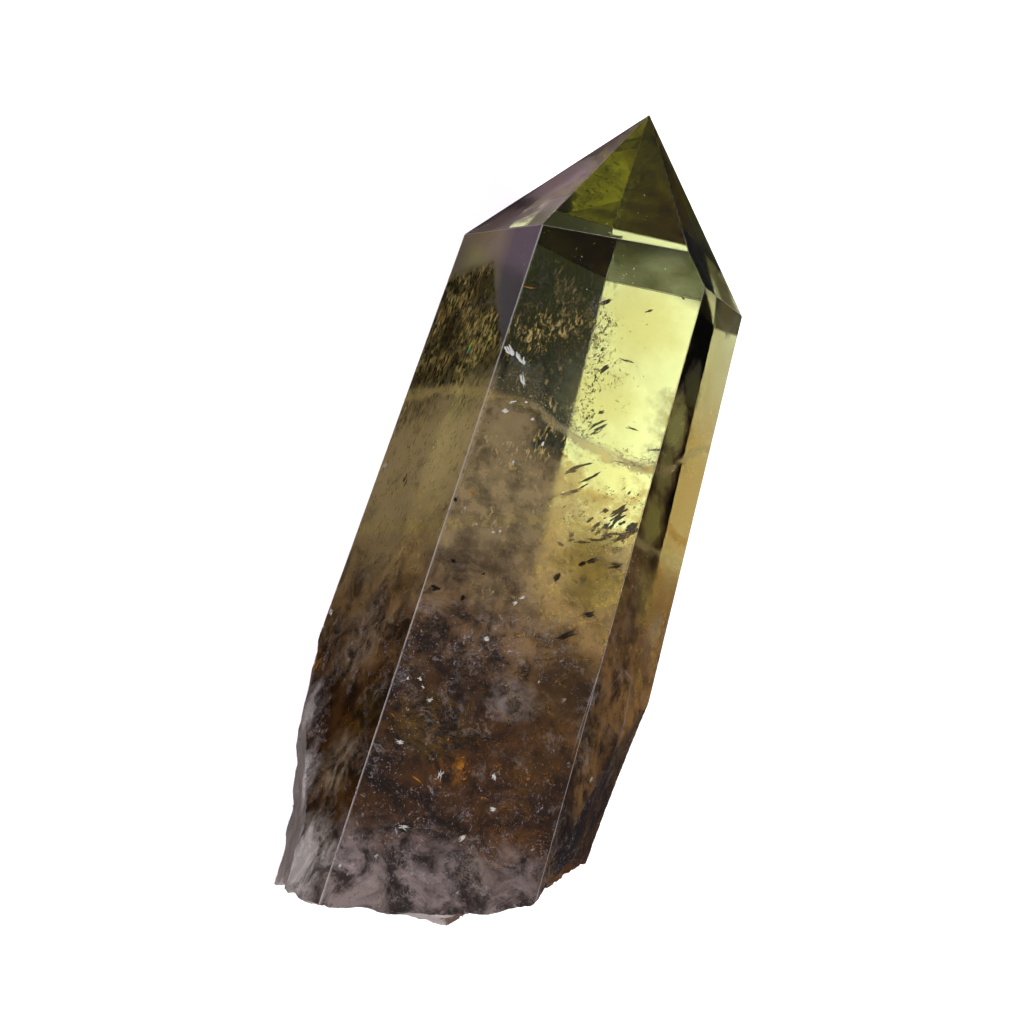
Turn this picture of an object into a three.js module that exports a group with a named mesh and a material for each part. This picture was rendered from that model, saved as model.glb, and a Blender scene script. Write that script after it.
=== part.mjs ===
// Lemon quartz crystal: one single-terminated point with six flat prism faces, six termination
// faces that meet in one tip, chipped lower flanks and a broken base. It grew as one piece.
// Units are millimetres. +Z is up, the tip points along +Y, and the origin lies on the surface
// that the crystal rests on, under the middle of its bounding box.
import * as THREE from 'three';

// Driving dimensions.
const TIP = new THREE.Vector3(-1.6, 51.15, 12.55);
const PRISM_END_Y = -54.5; // the prism would end here if the base weren't broken off
const COLUMN_STEP = 2.1; // spacing of the mesh columns round the crystal
const BASE_ROWS = 16;
const PRISM_ROWS = 40;
const CAP_ROWS = 6;
const ROW_CROWDING = 1.5; // above 1, the prism's rows crowd towards the broken end

// The six faces in order round the long axis, which runs along Y through the tip.
// facing: where the prism face looks, in degrees from straight up towards +X.
// reach: its distance from the long axis at y = AXIS_MIDDLE_Y. taper: how far it leans in to the tip.
// capFacing, capPitch: the termination face above it, with its pitch measured from the long axis
// to its normal.
const AXIS_MIDDLE_Y = 3.55;
const FACES = [
  { name: 'upper left', facing: -35.6, reach: 15.22, taper: 4.44, capFacing: -40.6, capPitch: 57.1 },
  { name: 'top', facing: 25.6, reach: 16.64, taper: 2.54, capFacing: 19.1, capPitch: 54.3 },
  { name: 'upper right', facing: 63.5, reach: 17.44, taper: 2.25, capFacing: 58.9, capPitch: 50.8 },
  { name: 'lower right', facing: 137.0, reach: 17.46, taper: 2.33, capFacing: 141.2, capPitch: 50.7 },
  { name: 'resting', facing: 180.0, reach: TIP.z, taper: 0.0, capFacing: 179.4, capPitch: 57.5 },
  { name: 'left', facing: 257.2, reach: 14.74, taper: 2.87, capFacing: 260.6, capPitch: 57.1 },
];

// Broken and worn-off places, each a shallow spherical scoop.
// at: where the scoop is deepest. facing: as above. lean: how far it turns to the base, in degrees.
// radius: of its sphere. relief: depth of the unevenness of the broken surface.
const SCOOPS = [
  { name: 'left flank, upper', at: [-13.9, -27.5, -0.1], facing: -122, lean: 4.6, radius: 90, relief: 0.25 },
  { name: 'left flank, lower', at: [-11.2, -40.0, 0.0], facing: -118, lean: 8.5, radius: 70, relief: 0.3 },
  { name: 'left heel', at: [-19.4, -48.3, 12.3], facing: -134.7, lean: 41.4, radius: 60, relief: 0.3 },
  { name: 'left base corner', at: [-20.6, -50.5, 17.3], facing: 152.8, lean: 80.8, radius: 60, relief: 0.3 },
  { name: 'base, left', at: [-18.6, -50.4, 24.3], facing: 103.9, lean: 68.4, radius: 120, relief: 0.4 },
  { name: 'base, middle', at: [-12.8, -50.7, 27.6], facing: 142.7, lean: 68.0, radius: 80, relief: 0.4 },
  { name: 'base, right', at: [-7.8, -46.6, 31.7], facing: 87.9, lean: 58.3, radius: 60, relief: 0.4 },
  { name: 'base step', at: [-3.2, -43.4, 34.5], facing: 62.9, lean: 19.8, radius: 40, relief: 0.2 },
  { name: 'right heel', at: [1.1, -40.0, 31.9], facing: 86.8, lean: 51.9, radius: 60, relief: 0.3 },
  { name: 'right flank, lower', at: [5.3, -33.6, 27.7], facing: 42.2, lean: 6.6, radius: 200, relief: 0.1 },
  { name: 'right flank, middle', at: [9.3, -27.2, 27.3], facing: 37.4, lean: 8.7, radius: 200, relief: 0.06 },
  { name: 'right flank, upper', at: [11.3, -21.4, 28.0], facing: 29.7, lean: 7.0, radius: 400, relief: 0.03 },
];
const HEART = new THREE.Vector3(-1.6, -18.5, 15); // inside the crystal, clear of every scoop
const RELIEF_WAVES = [ // direction times angular frequency, radians per millimetre
  new THREE.Vector3(0.9, 0.5, 0.7),
  new THREE.Vector3(-0.6, 1.3, 1.1),
  new THREE.Vector3(1.9, -0.8, -1.2),
];

const radial = (facing) => {
  const angle = THREE.MathUtils.degToRad(facing);
  return new THREE.Vector3(Math.sin(angle), 0, Math.cos(angle));
};

// A plane is kept as { normal, offset }: its points p satisfy normal . p = offset.
function prismPlane({ facing, reach, taper }) {
  const outward = radial(facing);
  const normal = outward.clone().setY(Math.tan(THREE.MathUtils.degToRad(taper)));
  const onFace = new THREE.Vector3(TIP.x, AXIS_MIDDLE_Y, TIP.z).addScaledVector(outward, reach);
  return { normal, offset: normal.dot(onFace) };
}

function capPlane({ capFacing, capPitch }) {
  const pitch = THREE.MathUtils.degToRad(capPitch);
  const normal = radial(capFacing).multiplyScalar(Math.sin(pitch)).setY(Math.cos(pitch));
  return { normal, offset: normal.dot(TIP) };
}

// The point that three planes share, by Cramer's rule.
function meet(a, b, c) {
  const bc = b.normal.clone().cross(c.normal);
  const ca = c.normal.clone().cross(a.normal);
  const ab = a.normal.clone().cross(b.normal);
  return bc.clone().multiplyScalar(a.offset).addScaledVector(ca, b.offset)
    .addScaledVector(ab, c.offset).divideScalar(a.normal.dot(bc));
}

// Corners round the shoulder, where prism faces pass into termination faces. Two neighbouring
// termination faces cut their shared prism edge at two heights. The lower cut is the real corner,
// and the ridge between the two meets the prism a little to one side of it.
function shoulderCorners() {
  const endPlane = { normal: new THREE.Vector3(0, 1, 0), offset: PRISM_END_Y };
  const corners = [];
  FACES.forEach((face, i) => {
    const next = FACES[(i + 1) % FACES.length];
    const [prismA, prismB, capA, capB] = [prismPlane(face), prismPlane(next), capPlane(face), capPlane(next)];
    const cutByA = meet(prismA, prismB, capA);
    const cutByB = meet(prismA, prismB, capB);
    const foot = meet(prismA, prismB, endPlane);
    if (cutByB.y < cutByA.y) {
      corners.push({ top: meet(prismA, capA, capB) }, { top: cutByB, foot });
    } else {
      corners.push({ top: cutByA, foot }, { top: meet(prismB, capA, capB) });
    }
  });
  return corners;
}

// A ridge corner stands on a face and not on an edge, so its foot keeps its share of the width.
function addFeet(corners) {
  const count = corners.length;
  corners.forEach((corner, i) => {
    if (corner.foot) return;
    const before = corners[(i + count - 1) % count].foot ? corners[(i + count - 1) % count]
      : corners[(i + count - 2) % count];
    const after = corners[(i + 1) % count].foot ? corners[(i + 1) % count] : corners[(i + 2) % count];
    const width = after.top.clone().sub(before.top).setY(0);
    const share = corner.top.clone().sub(before.top).dot(width) / width.lengthSq();
    corner.ridgeFoot = before.foot.clone().lerp(after.foot, share);
  });
  return corners.map(({ top, foot, ridgeFoot }) => ({ top, foot: foot ?? ridgeFoot }));
}

// Columns at even steps round the crystal, each with its foot on the prism's end and its top on
// the shoulder. The corners are columns too, so every edge stays sharp.
function columns() {
  const corners = addFeet(shoulderCorners());
  return corners.flatMap((corner, i) => {
    const next = corners[(i + 1) % corners.length];
    const width = Math.max(corner.foot.distanceTo(next.foot), corner.top.distanceTo(next.top));
    const steps = Math.max(1, Math.round(width / COLUMN_STEP));
    return Array.from({ length: steps }, (_, k) => ({
      foot: corner.foot.clone().lerp(next.foot, k / steps),
      top: corner.top.clone().lerp(next.top, k / steps),
    }));
  });
}

// Unevenness of a broken surface at a point, between about -1 and 1.
const unevenness = (point) => RELIEF_WAVES.reduce((sum, wave) => sum + Math.sin(wave.dot(point)), 0)
  / RELIEF_WAVES.length;

// How far along the line from the heart to the point a sphere begins, as a share of the line.
function entry(toPoint, centre, radius) {
  const fromCentre = HEART.clone().sub(centre);
  const a = toPoint.lengthSq();
  const b = toPoint.dot(fromCentre);
  const discriminant = b * b - a * (fromCentre.lengthSq() - radius * radius);
  if (discriminant <= 0 || b >= 0) return 1;
  return Math.min(1, (-b - Math.sqrt(discriminant)) / a);
}

// Where the line from the heart to the point first meets a scoop, or the point itself.
function carved(point) {
  const toPoint = point.clone().sub(HEART);
  let share = 1;
  for (const { at, facing, lean, radius, relief } of SCOOPS) {
    const turn = THREE.MathUtils.degToRad(lean);
    const outward = radial(facing).multiplyScalar(Math.cos(turn)).setY(-Math.sin(turn));
    const centre = new THREE.Vector3(...at).addScaledVector(outward, radius);
    const smooth = HEART.clone().addScaledVector(toPoint, entry(toPoint, centre, radius));
    share = Math.min(share, entry(toPoint, centre, radius + relief * unevenness(smooth)));
  }
  return HEART.clone().addScaledVector(toPoint, share);
}

// Rings of points from the middle of the base, up the prism, to the tip.
function rings() {
  const sides = columns();
  const baseMiddle = new THREE.Vector3(TIP.x, PRISM_END_Y, TIP.z);
  const ring = (place) => sides.map((side) => carved(place(side)));
  const inner = (count) => Array.from({ length: count - 1 }, (_, k) => (k + 1) / count);
  return [
    ...inner(BASE_ROWS).map((share) => ring(({ foot }) => baseMiddle.clone().lerp(foot, share))),
    ...[0, ...inner(PRISM_ROWS), 1].map((share) => ring(({ foot, top }) => foot.clone()
      .lerp(top, share ** ROW_CROWDING))),
    ...inner(CAP_ROWS).map((share) => ring(({ top }) => top.clone().lerp(TIP, share))),
  ];
}

function crystalGeometry() {
  const allRings = rings();
  const around = allRings[0].length;
  const points = allRings.flat();
  const middle = points.push(carved(new THREE.Vector3(TIP.x, PRISM_END_Y, TIP.z))) - 1;
  const tip = points.push(TIP.clone()) - 1;
  const lastRing = (allRings.length - 1) * around;
  const triangles = [];
  for (let k = 0; k < around; k += 1) {
    const next = (k + 1) % around;
    triangles.push(middle, next, k, lastRing + k, lastRing + next, tip);
    for (let row = 0; row < lastRing; row += around) {
      const [low, lowNext, high, highNext] = [row + k, row + next, row + around + k, row + around + next];
      triangles.push(low, lowNext, highNext, low, highNext, high);
    }
  }
  const geometry = new THREE.BufferGeometry().setFromPoints(points);
  geometry.setIndex(triangles);
  geometry.computeVertexNormals();
  return geometry;
}

const quartz = new THREE.MeshStandardMaterial({
  name: 'quartz', color: 0xb9b45a, roughness: 0.08, metalness: 0, transparent: true, opacity: 0.6,
});

const crystal = new THREE.Mesh(crystalGeometry(), quartz);
crystal.name = 'quartz_crystal';

const part = new THREE.Group();
part.name = 'lemon_quartz_crystal';
part.add(crystal);

export default part;
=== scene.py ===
"""Lemon quartz crystal: one clear point, lemon at the tip and smoky towards its broken base.

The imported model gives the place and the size. Lengths here are in millimetres until a mesh is
written, which is in metres. +Z is up, the tip points along +Y, and the crystal rests on z = 0.
"""
from functools import partial

import bpy
import numpy as np
from bpy.props import FloatProperty, FloatVectorProperty, IntProperty, PointerProperty
from bpy.types import Operator, Panel, PropertyGroup
from mathutils import Matrix


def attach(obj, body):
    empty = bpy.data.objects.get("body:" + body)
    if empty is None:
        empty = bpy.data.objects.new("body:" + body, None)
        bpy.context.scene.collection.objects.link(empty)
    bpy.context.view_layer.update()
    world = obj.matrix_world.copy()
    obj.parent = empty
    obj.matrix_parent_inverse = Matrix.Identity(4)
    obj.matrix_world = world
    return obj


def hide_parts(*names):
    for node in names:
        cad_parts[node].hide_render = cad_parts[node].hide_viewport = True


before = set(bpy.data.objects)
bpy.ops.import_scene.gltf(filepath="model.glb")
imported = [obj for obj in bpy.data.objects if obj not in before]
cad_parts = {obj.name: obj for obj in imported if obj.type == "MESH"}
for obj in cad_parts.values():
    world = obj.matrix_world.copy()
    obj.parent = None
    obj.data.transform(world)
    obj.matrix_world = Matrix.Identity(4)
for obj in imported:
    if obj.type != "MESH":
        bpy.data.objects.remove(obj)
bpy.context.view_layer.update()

bl_info = {
    "name": "Lemon Quartz Crystal",
    "version": (1, 0, 0),
    "blender": (4, 5, 0),
    "location": "View3D > Sidebar > Quartz",
    "description": "A see-through quartz point with its veils, voids and broken base",
    "category": "Object",
}

MM = 0.001

# ------------------------------------------------------------------ the crystal's shape

TIP = np.array([-1.6, 51.15, 12.55])
PRISM_END_Y = -54.5  # the prism would end here if the base weren't broken off
AXIS_MIDDLE_Y = 3.55
HEART = np.array([-1.6, -18.5, 15.0])  # inside the crystal, clear of every scoop

# The six faces in order round the long axis. Facing is in degrees from straight up towards +X,
# reach is from the long axis at AXIS_MIDDLE_Y, taper is how far the face leans in to the tip, and
# the last two turn the termination face above it.
FACES = np.array([
    (-35.6, 15.22, 4.44, -40.6, 57.1),  # upper left
    (25.6, 16.64, 2.54, 19.1, 54.3),  # top
    (63.5, 17.44, 2.25, 58.9, 50.8),  # upper right
    (137.0, 17.46, 2.33, 141.2, 50.7),  # lower right
    (180.0, 12.55, 0.0, 179.4, 57.5),  # resting
    (257.2, 14.74, 2.87, 260.6, 57.1),  # left
])
FACING, REACH, TAPER, CAP_FACING, CAP_PITCH = FACES.T
ACROSS = (0.813, 0.0, 0.582)  # the way across the upper left face, square to the long axis

# How wide the worn line is on the prism edge that follows each face, in millimetres.
EDGE_WEAR = (0.07, 0.05, 0.06, 0.05, 0.06, 0.22)
SHOULDER_WEAR = 0.05

# Broken and worn-off places, each a shallow spherical scoop: where it is deepest, its facing, how
# far it turns to the base, the radius of its sphere, the depth of its unevenness, and how frosted
# its surface is, from 0 for a smooth worn face to 1 for a fresh break.
SCOOPS = np.array([
    (-13.9, -27.5, -0.1, -122.0, 4.6, 90, 0.25, 0.7),  # left flank, upper
    (-11.2, -40.0, 0.0, -118.0, 8.5, 70, 0.30, 0.8),  # left flank, lower
    (-19.4, -48.3, 12.3, -134.7, 41.4, 60, 0.30, 0.9),  # left heel
    (-20.6, -50.5, 17.3, 152.8, 80.8, 60, 0.30, 1),  # left base corner
    (-18.6, -50.4, 24.3, 103.9, 68.4, 120, 0.40, 1),  # base, left
    (-12.8, -50.7, 27.6, 142.7, 68.0, 80, 0.40, 1),  # base, middle
    (-7.8, -46.6, 31.7, 87.9, 58.3, 60, 0.40, 0.6),  # base, right
    (-3.2, -43.4, 34.5, 62.9, 19.8, 40, 0.20, 0.5),  # base step
    (1.1, -40.0, 31.9, 86.8, 51.9, 60, 0.30, 0.5),  # right heel
    (5.3, -33.6, 27.7, 42.2, 6.6, 200, 0.03, 0),  # right flank, lower
    (9.3, -27.2, 27.3, 37.4, 8.7, 200, 0.01, 0),  # right flank, middle
    (11.3, -21.4, 28.0, 29.7, 7.0, 400, 0.00, 0),  # right flank, upper
])
RELIEF_WAVES = np.array([(0.9, 0.5, 0.7), (-0.6, 1.3, 1.1), (1.9, -0.8, -1.2)])
HACKLE_WAVES = np.array([(2.6, 1.9, -2.2), (-3.4, 2.8, 1.7), (4.9, 3.1, 4.2), (-5.6, 4.4, -6.1)])


def radial(facing, lean=0.0):
    """Unit vectors square to the long axis: sin(facing) along X, cos(facing) along Z. A lean turns
    them towards the base."""
    facing, lean = np.radians(facing), np.radians(lean)
    return np.stack([np.sin(facing) * np.cos(lean), -np.sin(lean) * np.ones_like(facing),
                     np.cos(facing) * np.cos(lean)], -1)


def face_planes():
    """The six prism planes, then the six termination planes, as normals and offsets: a point p is
    inside where normal . p < offset. A prism plane is turned by its taper and passes its reach from
    the axis. A termination plane passes through the tip."""
    out = radial(FACING)
    prism = out + np.outer(np.tan(np.radians(TAPER)), (0, 1, 0))
    on_face = np.array([TIP[0], AXIS_MIDDLE_Y, TIP[2]]) + out * REACH[:, None]
    pitch = np.radians(CAP_PITCH)
    cap = radial(CAP_FACING) * np.sin(pitch)[:, None] + np.outer(np.cos(pitch), (0, 1, 0))
    return prism, (prism * on_face).sum(1), cap, cap @ TIP


PRISM_NORMALS, PRISM_OFFSETS, CAP_NORMALS, CAP_OFFSETS = face_planes()
# The faces that carry the painted sheen, the top stain and the painted shade.
LEFT_FACE = PRISM_NORMALS[5], PRISM_OFFSETS[5]
TOP_FACE = PRISM_NORMALS[1], PRISM_OFFSETS[1]
SHADED_CAP_FACE = CAP_NORMALS[3], CAP_OFFSETS[3]


def meet(*planes):
    """The point that three planes share."""
    return np.linalg.solve(np.array([p[0] for p in planes]), np.array([p[1] for p in planes]))


def shoulder():
    """Corners round the shoulder and their feet on the prism's end. At each prism edge the lower of
    the two termination cuts is the corner, and the ridge between the two faces starts beside it.
    The ridge's foot keeps its share of the face's width."""
    prisms = list(zip(PRISM_NORMALS, PRISM_OFFSETS))
    caps = list(zip(CAP_NORMALS, CAP_OFFSETS))
    end = (np.array([0.0, 1.0, 0.0]), PRISM_END_Y)
    tops, feet, wear = [], [], []
    for i in range(6):
        a, b = prisms[i], prisms[(i + 1) % 6]
        cap_a, cap_b = caps[i], caps[(i + 1) % 6]
        cut_a, cut_b, foot = meet(a, b, cap_a), meet(a, b, cap_b), meet(a, b, end)
        if cut_b[1] < cut_a[1]:
            pair = (meet(a, cap_a, cap_b), None), (cut_b, foot)
        else:
            pair = (cut_a, foot), (meet(b, cap_a, cap_b), None)
        for top, base in pair:
            tops.append(top)
            feet.append(base)
            wear.append((EDGE_WEAR[i], base is not None))
    count = len(tops)
    whole = list(feet)
    for i, base in enumerate(feet):
        if base is None:
            before = i - 1 if feet[i - 1] is not None else i - 2
            after = (i + 1) % count if feet[(i + 1) % count] is not None else (i + 2) % count
            width = (tops[after] - tops[before]) * (1, 0, 1)
            share = (tops[i] - tops[before]) @ width / (width @ width)
            whole[i] = feet[before] + (feet[after] - feet[before]) * share
    return np.array(tops), np.array(whole), wear


def columns(step):
    """Columns round the crystal at even steps between the corners, each with its top, its foot and
    how worn it is on the prism and on the termination. Two more columns stand close to each corner,
    so the worn line along an edge has a width."""
    tops, feet, wear = shoulder()
    parts = []
    for i in range(len(tops)):
        j = (i + 1) % len(tops)
        width = max(np.linalg.norm(feet[j] - feet[i]), np.linalg.norm(tops[j] - tops[i]))
        steps = max(1, round(width / step))
        near, far = (min(w / width, 0.3) for w in (wear[i][0], wear[j][0]))
        inner = np.arange(1, steps) / steps
        share = np.concatenate([[0, near], inner[(inner > near) & (inner < 1 - far)], [1 - far]])
        worn = (share == 0).astype(float)
        parts.append(np.column_stack([
            tops[i] + (tops[j] - tops[i]) * share[:, None],
            feet[i] + (feet[j] - feet[i]) * share[:, None],
            worn * wear[i][1], worn * (not wear[i][1])]))
    cols = np.vstack(parts)
    return cols[:, 0:3], cols[:, 3:6], cols[:, 6], cols[:, 7]


def entry(to_point, centre, radius):
    """How far along the line from the heart to each point a sphere begins, as a share of the line:
    the lower root of |heart + share * to_point - centre| = radius."""
    from_centre = HEART - centre
    a, b = (to_point ** 2).sum(-1), to_point @ from_centre
    root = b * b - a * (from_centre @ from_centre - radius ** 2)
    share = (-b - np.sqrt(np.maximum(root, 0))) / np.maximum(a, 1e-9)
    return np.where((root > 0) & (b < 0), np.minimum(share, 1), 1)


def carve(points, hackle):
    """Where the line from the heart to each point first meets a scoop, how deep that lies under the
    unbroken face, and how frosted that scoop is. A scoop's radius swells by its unevenness: the
    mean of three long waves, and on a frosted scoop sharp creases, 1 - 2|sin|, of four short waves
    whose places are bent by the long ones."""
    to_point = points - HEART
    share, frosted = np.ones(len(points)), np.zeros(len(points))
    for x, y, z, facing, lean, radius, relief, frost in SCOOPS:
        centre = np.array([x, y, z]) + radial(facing, lean) * radius
        smooth = HEART + to_point * entry(to_point, centre, radius)[:, None]
        uneven = np.sin(smooth @ RELIEF_WAVES.T).mean(1)
        bent = smooth + np.sin(smooth @ RELIEF_WAVES.T * 0.7 + 1)
        creases = (1 - 2 * np.abs(np.sin(bent @ HACKLE_WAVES.T / 2))).mean(1)
        cut = entry(to_point, centre, radius + relief * (uneven + hackle * frost * creases))
        frosted = np.where(cut < share, frost, frosted)
        share = np.minimum(share, cut)
    depth = (1 - share) * np.linalg.norm(to_point, axis=1)
    return HEART + to_point * share[:, None], depth, frosted


# Rows of the crystal's mesh, and how much the prism's rows crowd towards the base.
BASE_ROWS, PRISM_ROWS, CAP_ROWS, ROW_CROWDING = 40, 150, 25, 1.5
PRISM_LENGTH, CAP_LENGTH = 95, 20  # about, in millimetres: the shoulder's worn line is a share of them
LAST_ROW = 0.992  # how far the last row lies up the termination, for a worn tip
BREAK_DEPTH = 0.12  # a scoop's rim turns from grown to broken over this depth, in millimetres


def crystal_surface(step, hackle, chamfer):
    """The crystal as rings of points from the middle of the base, up the prism, to the tip. A base
    point is a share of the way from the middle to a column's foot, a prism point a share from foot
    to top, with rows crowding to the base, and a termination point a share from top to tip."""
    top, foot, on_edge, on_ridge = columns(step)
    middle = np.array([TIP[0], PRISM_END_Y, TIP[2]])
    base = np.linspace(0, 1, BASE_ROWS + 1)[1:-1, None, None]
    up_prism = np.linspace(0, 1, PRISM_ROWS + 1)[:-1] ** ROW_CROWDING
    prism = np.append(up_prism, [1 - SHOULDER_WEAR / PRISM_LENGTH, 1])[:, None, None]
    up_cap = np.linspace(0, 1, CAP_ROWS + 1)[1:-1]
    cap = np.concatenate([[SHOULDER_WEAR / CAP_LENGTH], up_cap, [LAST_ROW]])[:, None, None]
    rows = np.concatenate([middle + (foot - middle) * base, foot + (top - foot) * prism,
                           top + (TIP - top) * cap])
    count, around = rows.shape[:2]
    shoulder_row = len(base) + len(prism) - 1
    worn = np.zeros((count, around))
    worn[len(base):shoulder_row] = on_edge
    worn[shoulder_row:] = on_ridge
    worn[shoulder_row] = 1
    points = np.vstack([rows.reshape(-1, 3), middle, TIP])
    worn = np.append(worn.ravel(), [0, 1])
    points, depth, frosted = carve(points, hackle)
    # The worn line's depth wavers along the crystal, by up to 40 percent.
    nick = 0.6 + 0.4 * np.sin(points[:, 1] * 2.3) * np.sin(points[:, 1] * 0.71 + 1)
    inward = (np.array([TIP[0], 0, TIP[2]]) - points) * (1, 0, 1)
    inward /= np.maximum(np.linalg.norm(inward, axis=1), 1)[:, None]
    points += inward * (worn * nick * chamfer)[:, None]
    at = np.arange(count * around).reshape(count, around)
    low, low_next, high, high_next = at[:-1], np.roll(at, -1, 1)[:-1], at[1:], np.roll(at, -1, 1)[1:]
    quads = np.stack([low, low_next, high_next, high], -1).reshape(-1, 4)
    first, last = at[0], at[-1]
    base_fan = np.stack([np.full(around, count * around), np.roll(first, -1), first], -1)
    tip_fan = np.stack([last, np.roll(last, -1), np.full(around, count * around + 1)], -1)
    faces = quads.tolist() + base_fan.tolist() + tip_fan.tolist()
    broken = np.clip(depth / BREAK_DEPTH, 0, 1)
    return points, faces, broken * frosted, worn * (1 - broken)


# ------------------------------------------------------------------ sight lines into the crystal

CAMERA_AZIMUTH, CAMERA_ELEVATION, CAMERA_ROLL = np.radians((-66.96, 48.29, 89.53))
CAMERA_TARGET = np.array([-1.6, 3.55, 0.0])
CAMERA_DISTANCE = 450.0
PICTURE_SIZE = 1024
MM_PER_PIXEL = 0.115  # at the camera's target
PICTURE_CENTRE = np.array([460.28, 494.5])  # the pixel that the camera's axis passes through
FOCAL_PIXELS = CAMERA_DISTANCE / MM_PER_PIXEL
LIT_FLOOR_WAY = np.array([0.9, 0.0, -0.44])  # from inside the crystal to the brightest floor


def camera_axes():
    """The camera's right, up and back: level axes for its azimuth and elevation, then rolled."""
    a, e, r = CAMERA_AZIMUTH, CAMERA_ELEVATION, CAMERA_ROLL
    back = np.array([np.sin(a) * np.cos(e), -np.cos(a) * np.cos(e), np.sin(e)])
    right = np.array([np.cos(a), np.sin(a), 0])
    up = np.cross(back, right)
    return right * np.cos(r) + up * np.sin(r), up * np.cos(r) - right * np.sin(r), back


def hull():
    """All the unbroken faces as unit normals and offsets."""
    normals = np.vstack([PRISM_NORMALS, CAP_NORMALS, [(0, -1, 0)]])
    offsets = np.concatenate([PRISM_OFFSETS, CAP_OFFSETS, [-PRISM_END_Y]])
    size = np.linalg.norm(normals, axis=1)
    return normals / size[:, None], offsets / size


def sight_lines(pixels, ior):
    """Sight lines through picture points, bent by Snell's law at the first face they meet. Returns
    where each enters, the face's normal, its direction inside, and its length inside up to the far
    face, 0 where it misses the crystal."""
    right, up, back = camera_axes()
    start = CAMERA_TARGET + back * CAMERA_DISTANCE
    across = (np.asarray(pixels) - PICTURE_CENTRE) / FOCAL_PIXELS
    line = unit(across[:, :1] * right - across[:, 1:] * up - back)
    normals, offsets = hull()
    towards = line @ normals.T
    reach = (offsets - normals @ start) / towards
    first = np.where(towards < 0, reach, -np.inf).argmax(1)
    enters = start + line * np.take_along_axis(reach, first[:, None], 1)
    normal = normals[first]
    facing = -(line * normal).sum(1)
    bent = line / ior + ((facing - np.sqrt(ior ** 2 - 1 + facing ** 2)) / ior)[:, None] * normal
    leaving = bent @ normals.T
    to_face = (offsets - enters @ normals.T) / np.where(leaving > 1e-9, leaving, np.nan)
    met = (enters @ normals.T <= offsets + 1e-6).all(1)
    length = np.nanmin(np.where(to_face > 1e-6, to_face, np.nan), axis=1)
    return enters, normal, bent, np.where(met, length, 0)


def hull_points(rng, count, lowest, highest):
    """Random points on the unbroken faces between two heights, and their faces' normals: lines
    from the long axis at random facings and heights, up to the first face each meets."""
    normals, offsets = hull()
    start = np.tile(TIP, (count, 1))
    start[:, 1] = rng.uniform(lowest, highest, count)
    line = radial(rng.uniform(0, 360, count))
    leaving = line @ normals.T
    reach = (offsets - start @ normals.T) / np.where(leaving > 1e-9, leaving, np.nan)
    first = np.nanargmin(reach, axis=1)
    return start + line * np.take_along_axis(reach, first[:, None], 1), normals[first]


# ------------------------------------------------------------------ meshes and pieces

SKIN = 0.05  # grains this close to a face, in millimetres, lie on it
SIZE_SCATTER = 0.4  # of the logarithm of a grain's size
THINNESS = 0.3  # a grain's thickness as a share of its width
GRAINS_PER_CLUMP = 24  # on the faces that the camera doesn't see
CLUMP_SPREAD = 0.8  # the same clumps' spread, in millimetres
SLIVER_RINGS = 9
RIDGE_RINGS = 24


def linear(code):
    """A colour from its sRGB hex code to linear values."""
    srgb = np.array([int(code[i:i + 2], 16) for i in (1, 3, 5)]) / 255
    return tuple(np.where(srgb <= 0.04045, srgb / 12.92, ((srgb + 0.055) / 1.055) ** 2.4))


def unit(vectors):
    """Vectors of the same directions and length 1."""
    return vectors / np.linalg.norm(vectors, axis=-1, keepdims=True)


def add_piece(name, points, faces, material):
    """Puts points, in millimetres, and faces into a mesh that rides on the crystal's body."""
    mesh = bpy.data.meshes.new(name)
    mesh.from_pydata((points * MM).tolist(), [], faces)
    mesh.materials.append(material)
    mesh.validate()
    piece = bpy.data.objects.new(name, mesh)
    bpy.context.scene.collection.objects.link(piece)
    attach(piece, "root")
    return piece


def grains(centres, long_axis, flat_axis, sizes):
    """Closed eight-sided grains as whole arrays: from each centre one corner each way along the long
    axis, the flat axis and the axis square to both, at the three half sizes."""
    third = unit(np.cross(long_axis, flat_axis))
    flat = unit(flat_axis)
    axes = np.stack([np.cross(flat, third), third, flat], 1) * sizes[:, :, None]
    corners = np.stack([axes, -axes], 2).reshape(-1, 6, 3) + centres[:, None]
    # Corners come as +long, -long, +third, -third, +flat, -flat.
    face = np.array([
        (0, 2, 4), (2, 1, 4), (1, 3, 4), (3, 0, 4), (2, 0, 5), (1, 2, 5), (3, 1, 5), (0, 3, 5)])
    faces = face[None] + 6 * np.arange(len(centres))[:, None, None]
    return corners.reshape(-1, 3), faces.reshape(-1, 3).tolist()


def along_path(path, share):
    """Points at these shares of a broken line's length."""
    path = np.array(path, float)
    length = np.append(0, np.cumsum(np.linalg.norm(np.diff(path, axis=0), axis=1)))
    return np.column_stack([np.interp(share * length[-1], length, path[:, k]) for k in (0, 1)])


def grain_sizes(rng, count, half, stretch):
    """Half sizes along, across and through each grain. The half width follows a log-normal law."""
    return half * np.exp(rng.normal(0, SIZE_SCATTER, (count, 1))) * (stretch, 1.0, THINNESS)


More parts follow.
